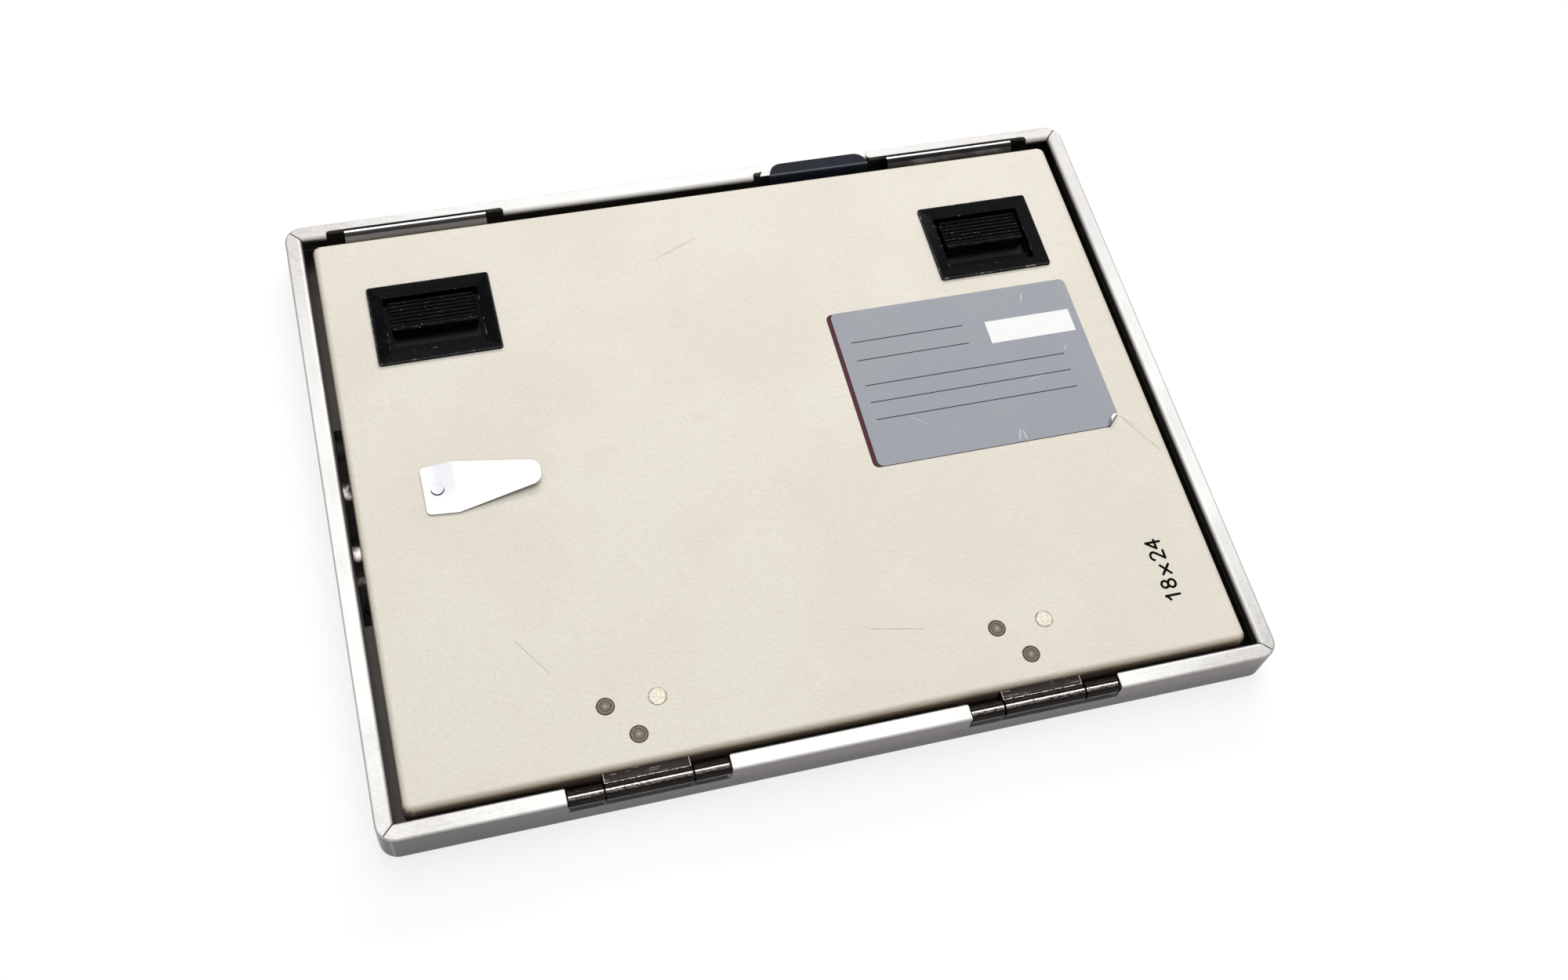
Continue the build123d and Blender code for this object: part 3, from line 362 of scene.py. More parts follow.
def wall_rivets():
    """Rivet ends dressed flush with the channel, so only their ring shows."""
    f = Finish("wall_rivets", paint(112, 108, 106), 0.46, metallic=1.0)
    mottle = f.noise(0.5, 3, 0.65)
    tone = f.mix(f.step(mottle, 0.35, 0.7), paint(116, 112, 110), paint(84, 80, 78))
    return f.done(tone, f.bump(mottle, 0.03))


def bolt_steel():
    """Blacked steel bolt, bright where its tip runs on the keeper."""
    f = Finish("bolt_steel", paint(30, 30, 31), 0.32, metallic=1.0)
    tip = f.step(f.plus(f.y, f.times(f.noise(2.2, 3, 0.6), 3)), 94.5, 97.0)
    drawn = f.noise(0.3, 3, 0.6, stretch=(1, 0.1, 1))
    tone = f.mix(tip, paint(24, 24, 25), paint(150, 148, 146))
    return f.done(tone, f.bump(drawn, 0.012, f.eased(0.12)), f.level(drawn, 0.26, 0.42))


def hinge_rivets():
    """Flush rivets: dark and ringed, but each hinge's far right one is bright."""
    f = Finish("hinge_rivets", paint(128, 120, 110), 0.4, metallic=0.9)
    pair_x, pair_y, single_y = 7.5, -78.1, -88.1
    across = f.minus(f.x, f.times(f.math("SIGN", f.x), HINGE_X))
    from_pair = f.distance(f.minus(f.absolute(across), pair_x), f.minus(f.y, pair_y))
    from_single = f.distance(across, f.minus(f.y, single_y))
    radius = f.math("MINIMUM", from_pair, from_single)
    radius = f.plus(radius, f.times(f.minus(f.noise(1.3, 3), 0.5), 0.75))
    rings = f.plus(f.times(f.math("SINE", f.times(radius, 7.2)), 0.5), 0.5)
    dark = f.mix(rings, paint(53, 47, 42), paint(106, 96, 86))
    dark = f.coat(dark, f.step(f.noise(0.6, 4, 0.75), 0.46, 0.68), 0.7, paint(64, 57, 51))
    dark = f.coat(dark, f.step(radius, 0.9, 0.4), 0.6, paint(132, 122, 110))
    pale = f.mix(f.step(f.noise(0.7, 3, 0.6), 0.4, 0.7), paint(176, 168, 156), paint(152, 145, 133))
    bright = f.both(f.step(across, 3, 4), f.step(f.y, -84, -82))
    tone = f.mix(bright, dark, pale)
    tone = f.coat(tone, f.step(radius, 2.25, 2.6), 0.8, paint(52, 45, 39))
    relief = f.plus(f.times(rings, 0.5), f.times(f.noise(0.3, 2), 0.7))
    return f.done(tone, f.bump(relief, 0.04), f.level(rings, 0.34, 0.5))


def hinge_nickel():
    """Black nickel with painted highlights: a broken bright streak and a grey band of painted reflection
    along the knuckles, and a bright line on the leaf's crease.
    """
    f = Finish("hinge_nickel", paint(24, 22, 21), 0.2, metallic=1.0)
    across = f.minus(f.absolute(f.x), HINGE_X)
    y = f.minus(f.y, HINGE_AXIS[0])
    z = f.minus(f.z, HINGE_AXIS[1])
    turn = f.times(f.math("ARCTAN2", y, z), 180 / pi)
    knuckle = f.step(f.distance(y, z), 2.75, 2.6)
    drawn = f.noise(0.14, 3, 0.65, stretch=(0.08, 1, 1))
    streaky = f.noise(0.24, 4, 0.8, stretch=(0.22, 1, 1), shift=(1, 4, 2))
    patchy = f.noise(2.4, 3, 0.6, stretch=(0.35, 1, 1), shift=(1, 7, 3))
    tone = f.mix(f.step(patchy, 0.35, 0.7), paint(23, 21, 20), paint(11, 10, 10))
    # Painted reflection: a grey band low round each knuckle.
    lower = f.between(turn, -66, -42, 10)
    tone = f.coat(tone, f.both(lower, knuckle), 0.6, paint(48, 43, 41))
    # Painted highlights: bands in degrees round the knuckle, with their softness, the streaks' reach, share
    # and colour.
    highlight_bands = [
        (-34, -22, 5, 0.44, 0.66, 0.55, paint(128, 118, 113)),
        (-21, -15, 2, 0.42, 0.6, 0.75, paint(200, 190, 184)),
        (-12, -4, 2.5, 0.34, 0.56, 0.95, paint(238, 229, 224)),
    ]
    for low, high, soft, first, last, share, shine in highlight_bands:
        highlight_band = f.both(f.between(turn, low, high, soft), f.step(streaky, first, last), knuckle)
        tone = f.coat(tone, highlight_band, share, shine)
    # The leaf between knuckle and cover: darker towards the cover, a few scratches, and painted highlights
    # along its crease and on its ends.
    leaf = f.both(f.step(y, 1.45, 1.6), f.step(z, 1.6, 1.75))
    face = f.both(leaf, f.step(y, 1.75, 1.9))
    tone = f.coat(tone, face, 0.6, f.mix(f.step(y, 2.0, 5.0), paint(46, 41, 38), paint(27, 24, 23)))
    scratch = f.both(leaf, f.step(f.noise(0.3, 2, 0.5, stretch=(0.05, 1, 1), shift=(9, 3, 2)), 0.66, 0.7))
    tone = f.coat(tone, scratch, 0.5, paint(170, 161, 154))
    # Painted highlight: a fine pale line along the crease.
    crease = f.both(leaf, f.between(y, 1.56, 1.74, 0.06), f.step(streaky, 0.38, 0.6))
    tone = f.coat(tone, crease, 0.75, paint(206, 197, 190))
    # Painted highlight on the leaf's ends.
    ends = f.both(leaf, f.step(f.absolute(across), 12.06, 12.16), f.step(patchy, 0.4, 0.5))
    tone = f.coat(tone, ends, 0.45, paint(196, 187, 180))
    return f.done(tone, f.bump(drawn, 0.004, f.eased(0.18)), f.level(drawn, 0.16, 0.3))


def keeper_steel():
    """Polished keeper, bright along the far half of its flat top; elsewhere painted shade, lighter on the
    left keeper than the right and darkest in the upper part of its near side.
    """
    f = Finish("keeper_steel", paint(190, 190, 191), 0.14, metallic=1.0)
    drawn = f.noise(0.2, 3, 0.6, stretch=(0.03, 1, 1))
    worn = f.noise(5, 3, 0.6, stretch=(0.3, 1, 1), shift=(4, 4, 4))
    # Painted shade off the bright top: lighter on the left keeper than on the right, mottled.
    painted_keeper_shade = f.mix(f.step(f.x, -20, 20), paint(104, 101, 98), paint(50, 48, 47))
    painted_keeper_shade = f.coat(painted_keeper_shade, f.step(worn, 0.5, 0.75), 0.5, paint(126, 123, 119))
    # Painted shade, darkest in the upper part of the near side.
    under_lip = f.step(f.plus(f.z, f.times(worn, 0.3)), 13.7, 14.15)
    painted_keeper_shade = f.coat(painted_keeper_shade, under_lip, 0.85, paint(24, 22, 21))
    slope = f.either(f.step(f.z, 14.36, 14.28), f.step(f.y, 99.75, 99.6))
    tone = f.mix(slope, paint(206, 206, 206), painted_keeper_shade)
    return f.done(tone, f.bump(drawn, 0.0015, f.eased(0.1)), f.level(drawn, 0.16, 0.28))


def lead_sheet():
    """Dull, clouded lead."""
    f = Finish("lead_sheet", paint(112, 114, 120), 0.5, metallic=0.7)
    cloud = f.noise(9, 4, 0.65)
    tone = f.mix(f.step(cloud, 0.35, 0.7), paint(122, 124, 130), paint(92, 94, 100))
    return f.done(tone, f.bump(cloud, 0.05))


# ================================================================ finishes: lid
def ivory_enamel():
    """Crinkled ivory enamel: grimy along its turned edges, with painted shade on its near roll and skirt,
    chipped at its corners, scratched.
    """
    f = Finish("ivory_enamel", paint(232, 226, 211), 0.5, specular=0.3)
    width = f.absolute(f.x)
    crinkle = f.noise(1.15, 4, 0.62)
    crease = f.cells(1.5, "SMOOTH_F1")
    fine = f.noise(0.28, 2, 0.6, shift=(7, 1, 0))
    cloud = f.noise(38, 3, 0.5)
    tone = f.mix(f.step(cloud, 0.38, 0.66), paint(233, 228, 215), paint(229, 223, 209))
    stain = f.step(f.noise(7, 4, 0.6, shift=(3, 3, 0)), 0.52, 0.8)
    tone = f.coat(tone, stain, 0.25, paint(220, 212, 195))
    tone = f.coat(tone, f.step(crinkle, 0.55, 0.3), 0.18, paint(206, 196, 174))
    speck = f.step(f.noise(0.3, 2, 0.7, shift=(4, 4, 0)), 0.5, 0.66)
    tone = f.coat(tone, speck, 0.26, paint(206, 199, 184))
    # Handling grime along the turned edges, then painted shade on the near roll and darker painted shade
    # down the skirt.
    edge = f.either(f.step(width, 123.2, 125.4), f.step(f.y, -94.8, -97.0), f.step(f.y, 93.8, 95.8))
    grime = f.both(edge, f.level(f.noise(5, 3, 0.6), 0.3, 1.0))
    tone = f.coat(tone, grime, 0.55, paint(186, 172, 146))
    near_roll_shade = f.step(f.y, -94.4, -97.2)
    tone = f.coat(tone, near_roll_shade, 0.6, paint(150, 132, 106))
    # Painted shade on the turned-down skirt at the near side and the short sides.
    turned = f.both(f.step(f.z, 14.55, 13.5),
                    f.either(f.step(f.y, -96.0, -96.8), f.step(width, 124.8, 125.5)))
    tone = f.coat(tone, turned, 0.8, paint(78, 62, 48))
    # Chips through the enamel at the corners.
    from_corner = f.plus(f.minus(LID_HALF[0], width),
                         f.minus(LID_HALF[1], f.absolute(f.minus(f.y, LID_MIDDLE_Y))))
    ragged = f.plus(from_corner, f.times(f.noise(1.3, 3, 0.7, shift=(2, 5, 1)), 5.5))
    chip = f.step(ragged, 5.3, 5.0)
    primer = f.both(f.step(ragged, 6.0, 5.5), f.minus(1.0, chip))
    tone = f.coat(tone, primer, 0.7, paint(176, 162, 146))
    tone = f.coat(tone, chip, 0.8, paint(116, 106, 98))
    # Long hair scratches.
    hair = f.scratches((113.4, -14.6, 123.5, -31.0, 0.08), (113.4, -14.2, 118.0, -20.0, 0.07),
                       (-88, -52, -79, -66, 0.07), (12, -70, 31, -74, 0.06), (-20, 71, -3, 78, 0.06))
    tone = f.coat(tone, hair, 0.45, paint(140, 126, 106))
    relief = f.plus(crinkle, f.times(crease, 0.35))
    relief = f.plus(f.times(relief, 0.95), f.times(fine, 0.4))
    relief = f.minus(relief, f.times(f.either(chip, hair), 1.2))
    return f.done(tone, f.bump(relief, 0.17), f.level(crinkle, 0.42, 0.6))


def label_foil():
    """Grey foil with a fine speckle and a few marks rubbed bright."""
    f = Finish("label_foil", paint(163, 167, 175), 0.42, specular=0.25)
    speckle = f.noise(0.3, 3, 0.75)
    cloud = f.noise(30, 2)
    tone = f.mix(f.step(speckle, 0.38, 0.66), paint(149, 153, 159), paint(163, 166, 172))
    tone = f.coat(tone, f.step(cloud, 0.4, 0.7), 0.3, paint(144, 149, 160))
    pale_marks = f.scratches((96.2, 33.0, 97.4, 36.8, 0.32), (79.0, -17.6, 80.2, -13.6, 0.4),
                         (81.4, -17.6, 81.0, -13.9, 0.4), (104, 12.0, 106.0, 14.5, 0.22),
                         (46, -2, 52, -6.5, 0.14), (88, 3, 96, 5, 0.12))
    tone = f.mix(f.both(pale_marks, f.level(f.noise(0.5, 2), 0.2, 1.0)), tone, paint(214, 216, 220))
    return f.done(tone, f.bump(f.minus(speckle, pale_marks), 0.012), f.level(speckle, 0.32, 0.46))


def printed(name, colour, rough, specular=0.12):
    """Ink or film with a faint tooth."""
    f = Finish(name, paint(*colour), rough, specular=specular)
    tooth = f.noise(0.5, 2, 0.6)
    tone = f.mix(f.step(tooth, 0.35, 0.75), paint(*colour), paint(*colour, 0.86))
    return f.done(tone, f.bump(tooth, 0.008))


# ================================================================ finishes: plastic and soft parts
def black_moulding():
    """Glossy black bezel: smeared and dusty, with a painted highlight along its outer rim, its frame's and
    well's rims pale with wear and painted glints, and painted shade in the well.
    """
    f = Finish("black_moulding", paint(7, 7, 9), 0.2, specular=0.034)
    (rim_x, rim_y), (well_x, well_y) = BEZEL_RIM, BEZEL_WELL
    grain = f.noise(0.4, 3, 0.6)
    smear = f.noise(4.5, 3, 0.6)
    hair = f.step(f.noise(0.35, 2, 0.5, stretch=(0.25, 1, 1), shift=(3, 0, 6)), 0.66, 0.72)
    blotches = f.both(f.step(f.cells(1.3, shift=(2, 5, 1)), 0.14, 0.06),
                  f.step(f.noise(5, 2, shift=(8, 1, 0)), 0.5, 0.62))
    across = f.absolute(f.minus(f.absolute(f.x), LATCH[0]))
    along = f.absolute(f.minus(f.y, LATCH[1]))
    outer = f.both(f.either(f.step(across, rim_x - 0.2, rim_x), f.step(along, rim_y - 0.2, rim_y)),
                   f.step(f.z, 15.35, 15.5))
    inner = f.both(f.either(f.between(across, well_x - 0.25, well_x, 0.08),
                            f.between(along, well_y - 0.25, well_y, 0.08)),
                   f.step(across, well_x + 0.2, well_x), f.step(along, well_y + 0.2, well_y),
                   f.step(f.z, 14.4, 14.6))
    rim_wear_and_glints = f.both(f.either(outer, inner), f.step(f.noise(3.4, 3, 0.75, shift=(1, 1, 4)), 0.56, 0.68))
    tone = f.mix(f.step(smear, 0.35, 0.75), paint(4, 4, 6), paint(10, 10, 14))
    tone = f.coat(tone, f.either(hair, blotches), 0.22, paint(84, 82, 82))
    # Painted highlight: a faint pale line along the outer rim.
    tone = f.coat(tone, outer, 0.3, paint(92, 92, 98))
    # Pale wear and painted glints, broken, along both rims.
    tone = f.coat(tone, rim_wear_and_glints, 0.6, paint(164, 162, 159))
    # Painted shade: darker below the rim, down in the well.
    tone = f.mix(f.step(f.z, 14.8, 13.6), tone, paint(3, 3, 4))
    return f.done(tone, f.bump(f.minus(grain, hair), 0.01, f.eased(0.22)),
                  f.plus(f.level(smear, 0.07, 0.16), f.times(hair, 0.2)))


def knob_moulding():
    """Black knob: ribs worn grey in patches and flecked, with dust between them."""
    f = Finish("knob_moulding", paint(6, 6, 7), 0.3, specular=0.03)
    grain = f.noise(0.3, 3, 0.65)
    patch = f.noise(2.2, 3, 0.65, stretch=(0.4, 1, 1))
    worn = f.both(f.step(f.z, 14.8, 15.2), f.step(patch, 0.42, 0.62))
    blotches = f.both(f.step(f.z, 14.75, 14.5), f.step(f.noise(1.1, 3, 0.7, shift=(0, 3, 3)), 0.45, 0.7))
    fleck = f.both(f.step(f.z, 14.85, 14.95),
                   f.step(f.noise(0.4, 2, 0.6, stretch=(0.5, 1, 1), shift=(4, 9, 2)), 0.675, 0.74))
    tone = f.coat(paint(6, 6, 7), worn, 0.16, paint(80, 78, 76))
    tone = f.coat(tone, blotches, 0.12, paint(80, 78, 76))
    tone = f.coat(tone, fleck, 0.75, paint(196, 194, 190))
    return f.done(tone, f.bump(grain, 0.015, f.eased(0.12)), f.level(patch, 0.28, 0.46))


def moulded(name, colour, rough, grain_size=0.6, depth=0.02, cloudiness=0.8, specular=0.5):
    """Plain moulded plastic or paint with a fine leather-like tooth and slight clouding."""
    f = Finish(name, paint(*colour), rough, specular=specular)
    grain = f.noise(grain_size, 3, 0.65)
    cloud = f.noise(12, 3)
    tone = f.mix(f.step(cloud, 0.35, 0.7), paint(*colour), paint(*colour, cloudiness))
    scuff = f.step(f.noise(0.5, 2, 0.5, stretch=(0.2, 0.7, 1), shift=(6, 6, 1)), 0.67, 0.74)
    tone = f.coat(tone, scuff, 0.3, paint(*colour, 2.2, 0.03))
    return f.done(tone, f.bump(grain, depth, f.eased(0.15)), f.level(grain, rough - 0.06, rough + 0.1))


def tab_moulding():
    """Dull blue-black moulding whose crease is rubbed pale."""
    f = Finish("tab_moulding", paint(26, 30, 40), 0.55, specular=0.1)
    grain = f.noise(0.45, 3, 0.65)
    pale_marks = f.both(f.between(f.y, 99.0, 99.35, 0.12), f.step(f.z, 14.2, 14.6),
                    f.level(f.noise(2.5, 3, 0.6, stretch=(1, 0.2, 1)), 0.3, 1.2))
    scuff = f.step(f.noise(0.5, 2, 0.5, stretch=(0.2, 0.7, 1), shift=(6, 6, 1)), 0.68, 0.75)
    tone = f.mix(f.step(f.noise(6, 3), 0.35, 0.7), paint(24, 28, 38), paint(17, 20, 28))
    tone = f.coat(tone, scuff, 0.25, paint(90, 96, 112))
    tone = f.coat(tone, pale_marks, 0.85, paint(124, 130, 148))
    return f.done(tone, f.bump(grain, 0.02, f.eased(0.3)), f.level(grain, 0.46, 0.64))


def open_foam():
    """Charcoal foam with open pores."""
    f = Finish("open_foam", paint(40, 40, 43), 0.95, specular=0.1)
    pores = f.cells(0.9)
    small = f.cells(0.45, shift=(3, 3, 3))
    tone = f.mix(f.step(pores, 0.2, 0.55), paint(18, 18, 20), paint(56, 56, 60))
    return f.done(tone, f.bump(f.plus(pores, f.times(small, 0.5)), 0.22))


def pressed_felt():
    """Black felt with short fibres and a few paler knots."""
    f = Finish("pressed_felt", paint(20, 19, 20), 0.95, specular=0.1)
    fibre = f.noise(0.3, 4, 0.75, stretch=(1, 0.35, 1))
    knot = f.noise(1.4, 3, 0.6, shift=(5, 2, 2))
    tone = f.mix(f.step(fibre, 0.4, 0.68), paint(12, 11, 12), paint(38, 36, 37))
    tone = f.coat(tone, f.step(knot, 0.55, 0.75), 0.4, paint(54, 50, 48))
    return f.done(tone, f.bump(f.plus(fibre, knot), 0.16))


nickel = hinge_nickel()
spring_finish = blackened_spring()
steel = plain_steel("plain_steel")
blacked = bolt_steel()
clip_finish = clip_steel()
screen_white = moulded("screen_coating", (236, 233, 224), 0.4, 0.35, 0.004, 0.98)
slide_white = moulded("slide_plastic", (206, 205, 198), 0.4)

finishes = {
    "frame_channel": channel_aluminium(),
    "front_panel": moulded("panel_black", (24, 24, 26), 0.5, 0.8, 0.03, 0.75, specular=0.2),
    "front_screen": screen_white,
    "back_screen": screen_white,
    "edge_tab": tab_moulding(),
    "keeper_rivets": plain_steel("dull_rivet", (118, 112, 106), 0.42),
    "frame_hinge_rivets": wall_rivets(),
    "lift_spring_rivets": spring_finish,
    "lid_hinge_rivets": hinge_rivets(),
    "lid_pan": ivory_enamel(),
    "lid_tray": moulded("tray_black", (11, 11, 12), 0.55, 0.9, 0.03, specular=0.06),
    "lead_foil": lead_sheet(),
    "id_clip": clip_finish,
    "id_clip_rivet": clip_finish,
}
finishes_of_pairs = {
    "keeper_": keeper_steel(),
    "hinge_frame_leaf_": nickel,
    "hinge_lid_leaf_": nickel,
    "hinge_pin_": blacked,
    "lift_spring_": spring_finish,
    "latch_bezel_": black_moulding(),
    "latch_knob_": knob_moulding(),
    "latch_bolt_": blacked,
    "latch_screws_": steel,
    "bolt_guide_": slide_white,
    "spring_seat_": slide_white,
}
for piece_name, finish in finishes_of_pairs.items():
    for side in ("left", "right"):
        finishes[piece_name + side] = finish

for node_name, finish in finishes.items():
    materials = cad[node_name].data.materials
    materials.clear()
    materials.append(finish)


# ================================================================ pieces made here
def new_piece(name, shape, finish, body):
    """Turn a bmesh into a piece that rides on a CAD body."""
    bmesh.ops.recalc_face_normals(shape, faces=shape.faces)
    mesh = bpy.data.meshes.new(name)
    shape.to_mesh(mesh)
    shape.free()
    mesh.materials.append(finish)
    piece = bpy.data.objects.new(name, mesh)
    bpy.context.scene.collection.objects.link(piece)
    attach(piece, body)
    return piece


def block(low, high, shape=None):
    """Closed box between two corners in millimetres, by itself or added to shape."""
    if shape is None:
        shape = bmesh.new()
    verts = bmesh.ops.create_cube(shape, size=MM)["verts"]
    size = Vector(high) - Vector(low)
    middle = (Vector(high) + Vector(low)) / 2
    bmesh.ops.scale(shape, vec=size, verts=verts)
    bmesh.ops.translate(shape, vec=middle * MM, verts=verts)
    return shape


def span(edge):
    return edge.verts[0].co - edge.verts[1].co


def upright_edges(shape):
    return [edge for edge in shape.edges if abs(span(edge).z) > TINY and span(edge).xy.length < TINY]


def round_edges(shape, edges, radius, segments=5):
    bmesh.ops.bevel(shape, geom=edges, offset=radius * MM, segments=segments, profile=0.5,
                    affect="EDGES", material=-1, clamp_overlap=True)


def cut(shape, place, normal, clear_outer=False):
    """Cut a shape's faces along a plane; what lies beyond it may be cleared away."""
    bmesh.ops.bisect_plane(shape, geom=shape.verts[:] + shape.edges[:] + shape.faces[:], dist=TINY / 10,
                           plane_co=place, plane_no=normal, clear_outer=clear_outer)


def curl_corner(shape, corner, inward, starts, turn):
    """Curl a sheet's corner up: cut it across the diagonal and turn each strip a little more."""
    def line_at(start, z=0.0):
        return Vector((*corner, 0)) * MM + inward * start * MM + Vector((0, 0, z))

    for start in starts:
        cut(shape, line_at(start), inward)
    level = min(v.co.z for v in shape.verts)
    hinge = Vector((-inward.y, inward.x, 0))
    lifted = Matrix.Identity(4)
    moves = {}
    for start in sorted(starts, reverse=True):
        line = line_at(start, level)
        base = lifted @ line
        turned = Matrix.Rotation(turn, 4, lifted.to_3x3() @ hinge)
        lifted = Matrix.Translation(base) @ turned @ Matrix.Translation(-base) @ lifted
        for v in shape.verts:
            if (v.co - line).dot(inward) < -TINY:
                moves[v] = lifted.copy()
    for v, move in moves.items():
        v.co = move @ v.co


def label():
    """Foil label on a maroon backing; its near right corner is lifted and curls back on itself."""
    gap, backing_thickness, foil_thickness, radius = 0.01, 0.07, 0.12, 2.0
    x0, x1, y0, y1 = LABEL
    corner = (x1, y0)
    inward = Vector((-1, 1, 0)).normalized()
    bottom = LID_TOP + gap
    top = bottom + backing_thickness
    backing = block((x0 - 1.5, y0 - 0.14, bottom), (x1 - 0.4, y1 - 0.1, top))
    round_edges(backing, upright_edges(backing), radius)
    cut(backing, (Vector((*corner, 0)) + inward * 2.7) * MM, -inward, clear_outer=True)
    bmesh.ops.holes_fill(backing, edges=[edge for edge in backing.edges if edge.is_boundary])
    new_piece("label_backing", backing, printed("label_maroon", (78, 34, 48), 0.4), "lid")
    bottom = top + gap
    top = bottom + foil_thickness
    sheet = block((x0, y0, bottom), (x1, y1, top))
    round_edges(sheet, upright_edges(sheet), radius)
    for face in sheet.faces:
        face.material_index = 1 if face.normal.z < -0.5 else 0
    curl_corner(sheet, corner, inward, [1.2 + 0.28 * i for i in range(10)], radians(18))
    piece = new_piece("label_sheet", sheet, label_foil(), "lid")
    piece.data.materials.append(printed("label_underside", (250, 248, 248), 0.3))
    for face in piece.data.polygons:
        face.use_smooth = abs(face.normal.z) < 0.999
    return top


def label_print(bottom):
    """White writing field and five plain ruled lines, printed on the foil."""
    field_thickness, rule_thickness, rule_width = 0.03, 0.02, 0.35
    x0, x1, y0, y1 = FIELD
    field = block((x0, y0, bottom), (x1, y1, bottom + field_thickness))
    new_piece("writing_field", field, printed("field_white", (252, 252, 251), 0.4), "lid")
    left, short, long = 36.0, 74.0, 104.0
    rules = bmesh.new()
    for right, y in ((short, 27.6), (short, 20.6), (long, 11.0), (long, 4.6), (long, -1.8)):
        block((left, y, bottom), (right, y + rule_width, bottom + rule_thickness), rules)
    new_piece("label_rules", rules, printed("label_ink", (58, 60, 68), 0.45), "lid")


def arc(centre, radii, first, last, count):
    """Points along part of an ellipse between two angles in degrees."""
    turns = [radians(first + (last - first) * i / count) for i in range(count + 1)]
    return [(centre[0] + radii[0] * cos(t), centre[1] + radii[1] * sin(t)) for t in turns]


def ink_stroke(curve, points, half_width):
    """Line of ink through points, in millimetres, with half-round ends."""
    ends = []
    for tip, inner in ((points[0], points[1]), (points[-1], points[-2])):
        out = (Vector(tip) - Vector(inner)).normalized() * half_width
        ends.append([(Vector(tip) + out * sin(t), cos(t)) for t in map(radians, (30, 55, 75, 88))])
    middle = [(Vector(point), 1.0) for point in points]
    route = ends[0][::-1] + middle + ends[1]
    spline = curve.splines.new("POLY")
    spline.points.add(len(route) - 1)
    for point, (place, width) in zip(spline.points, route):
        point.co = (*(place * MM), 0, 1)
        point.radius = width


def size_numerals():
    """Film size in centimetres, 18 x 24, reading up the lid's right side in round-ended strokes."""
    half_width, rise = 0.4, 0.03
    curve = bpy.data.curves.new("size_numerals", "CURVE")
    curve.dimensions = "3D"
    curve.bevel_depth = half_width * MM
    curve.bevel_resolution = 2
    curve.use_fill_caps = True
    one = [[(-8.75, 0.4), (-8.75, 4.93)], [(-8.75, 4.93), (-9.35, 4.25), (-10.1, 3.75)]]
    eight = [arc((-4.92, 1.57), (1.32, 1.17), 90, 450, 24), arc((-4.92, 3.85), (1.15, 1.08), -90, 270, 24)]
    cross = [[(-1.62, 0.4), (1.5, 3.1)], [(-1.62, 3.1), (1.5, 0.4)]]
    two = [arc((4.85, 3.78), (1.32, 1.12), 168, -32, 14) + [(3.7, 0.45)], [(3.7, 0.42), (6.3, 0.42)]]
    four = [[(9.5, 0.4), (9.5, 4.93)], [(9.5, 4.93), (7.3, 2.06)], [(7.3, 2.06), (10.2, 2.06)]]
    for points in one + eight + cross + two + four:
        ink_stroke(curve, points, half_width)
    lettering = bpy.data.objects.new("size_numerals_strokes", curve)
    mesh = bpy.data.meshes.new_from_object(lettering)
    bpy.data.objects.remove(lettering)
    shape = bmesh.new()
    shape.from_mesh(mesh)
    bpy.data.meshes.remove(mesh)
    bmesh.ops.scale(shape, vec=(1, 1, rise / half_width), verts=shape.verts)
    middle = Vector((*NUMERALS, LID_TOP + rise)) * MM
    place = Matrix.Translation(middle) @ Matrix.Rotation(pi / 2, 4, "Z")
    bmesh.ops.transform(shape, matrix=place, verts=shape.verts)
    new_piece("size_numerals", shape, printed("numeral_black", (9, 9, 9), 0.6, 0.02), "lid")


def foam():
    """Foam pad with soft, slightly bulging sides."""
    trim = Vector((0.3, 0.3, 0.02))
    low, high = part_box("foam_pad")
    shape = block(low / MM + trim, high / MM - trim)
    round_edges(shape, upright_edges(shape), 1.5, 4)
    rims = [edge for edge in shape.edges if abs(span(edge).z) < TINY]
    round_edges(shape, rims, 0.9, 4)
    piece = new_piece("foam_cushion", shape, open_foam(), "lid")
    for face in piece.data.polygons:
        face.use_smooth = True
    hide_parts("foam_pad")


def felt():
    """Felt strip under the tray's rim, with soft lower edges."""
    width, side_gap, face_gap = 2.1 * MM, 0.05 * MM, 0.01 * MM
    low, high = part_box("light_seal")
    size = high - low
    middle = (low + high) / 2
    shape = bmesh.new()
    bmesh.ops.create_grid(shape, x_segments=1, y_segments=1, size=0.5)
    bmesh.ops.scale(shape, vec=(size.x - 2 * side_gap, size.y - 2 * side_gap, 1), verts=shape.verts)
    bmesh.ops.translate(shape, vec=(middle.x, middle.y, high.z - face_gap), verts=shape.verts)
    bmesh.ops.inset_region(shape, faces=shape.faces, thickness=width, use_boundary=True,
                           use_even_offset=True)
    inner = max(shape.faces, key=lambda face: face.calc_area())
    bmesh.ops.delete(shape, geom=[inner], context="FACES_ONLY")
    bmesh.ops.solidify(shape, geom=shape.faces[:], thickness=size.z - 2 * face_gap)
    lower = [edge for edge in shape.edges if all(v.co.z < middle.z for v in edge.verts)
             and len(edge.link_faces) == 2 and edge.calc_face_angle(0) > 1]
    round_edges(shape, lower, 0.5, 4)
    piece = new_piece("felt_strip", shape, pressed_felt(), "lid")
    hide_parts("light_seal")


def return_springs():
    """Coils behind the latches, copied from the springs in the model and riding on the latch bolts."""
    for joint in frame["joints"]:
        latch = joint["child"]
        if not latch.startswith("latch_"):
            continue
        stand_in_for = latch.replace("latch_", "latch_spring_")
        coil = bmesh.new()
        coil.from_mesh(cad[stand_in_for].data)
        bmesh.ops.remove_doubles(coil, verts=coil.verts, dist=0.001 * MM)
        piece = new_piece(latch.replace("latch_", "return_coil_"), coil, steel, latch)
        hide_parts(stand_in_for)
        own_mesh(piece)


foil_top = label()
label_print(foil_top)
size_numerals()
foam()
felt()
return_springs()


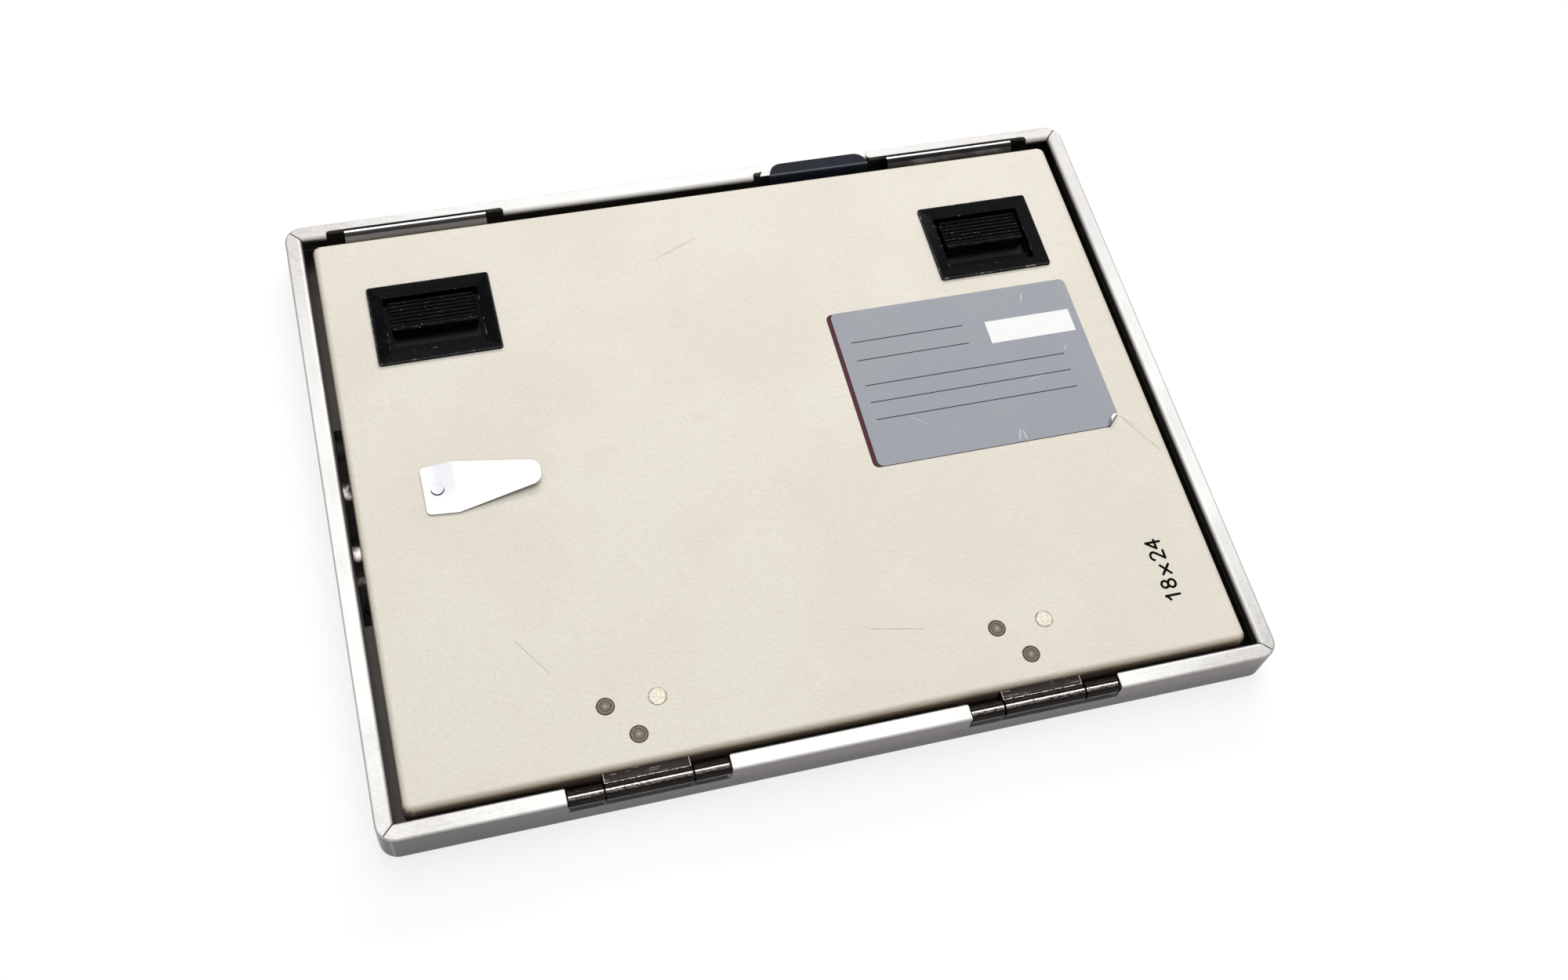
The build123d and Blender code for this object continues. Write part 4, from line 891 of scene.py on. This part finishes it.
# ================================================================ studio
def studio_floor():
    """Pale floor a hair under the frame; seen from below it is clear."""
    half_size, drop = 3.0, 0.02 * MM
    shape = bmesh.new()
    bmesh.ops.create_grid(shape, x_segments=1, y_segments=1, size=half_size)
    bmesh.ops.translate(shape, vec=(0, 0, -drop), verts=shape.verts)
    mesh = bpy.data.meshes.new("studio_floor")
    shape.to_mesh(mesh)
    shape.free()
    floor = bpy.data.objects.new("studio_floor", mesh)
    bpy.context.scene.collection.objects.link(floor)
    f = Finish("studio_white", (0.28, 0.28, 0.28, 1), 0.9, specular=0.0)
    glow = f.node("Emission", Strength=f.brightness(lit=0.0, seen=0.76))
    total = f.node("AddShader", None, {0: f.shader.outputs[0], 1: glow.outputs[0]})
    from_below = f.node("NewGeometry").outputs["Backfacing"]
    clear = f.node("BsdfTransparent")
    sides = f.node("MixShader", None, {0: from_below, 1: total.outputs[0], 2: clear.outputs[0]})
    f.feed(f.tree.nodes["Material Output"], "Surface", sides.outputs[0])
    mesh.materials.append(f.material)


def surroundings():
    """White world, brighter to look at than as a light."""
    world = bpy.data.worlds.new("studio")
    bpy.context.scene.world = world
    world.use_nodes = True
    nodes = Nodes(world.node_tree)
    back = nodes.tree.nodes["Background"]
    nodes.feed(back, "Color", (1, 1, 1, 1))
    nodes.feed(back, "Strength", nodes.brightness(lit=0.22, seen=1.0))


def lamp(name, place, size, watts):
    """Rectangular lamp that faces the object."""
    data = bpy.data.lights.new(name, "AREA")
    data.shape = "RECTANGLE"
    data.size, data.size_y = size
    data.energy = watts
    light = bpy.data.objects.new(name, data)
    bpy.context.scene.collection.objects.link(light)
    light.location = place
    light.rotation_euler = (-Vector(place)).to_track_quat("-Z", "Y").to_euler()


def camera():
    """The photo's camera, solved from the cassette's corners."""
    place = (-0.11077, -0.25805, 0.46973)
    right = Vector((0.96218967, -0.25130408, 0.10505858))
    up = Vector((0.17008334, 0.85559882, 0.48889909))
    towards = Vector((0.21275033, 0.45254494, -0.86599098))
    data = bpy.data.cameras.new("photo_camera")
    data.sensor_width = 36
    data.lens = 39.602
    data.clip_start = 0.02
    eye = bpy.data.objects.new("photo_camera", data)
    bpy.context.scene.collection.objects.link(eye)
    turned = Matrix((right, up, -towards)).transposed().to_4x4()
    eye.matrix_world = Matrix.Translation(place) @ turned
    bpy.context.scene.camera = eye


studio_floor()
surroundings()
lamp("overhead_softbox", (0.1, 0.36, 1.3), (1.6, 1.2), 11.4)
lamp("far_strip", (0.55, 1.5, 1.05), (1.7, 0.1), 16)
lamp("front_strip", (0.05, -0.95, 1.25), (1.3, 0.06), 3.4)
camera()
bpy.context.scene.view_settings.view_transform = "Standard"
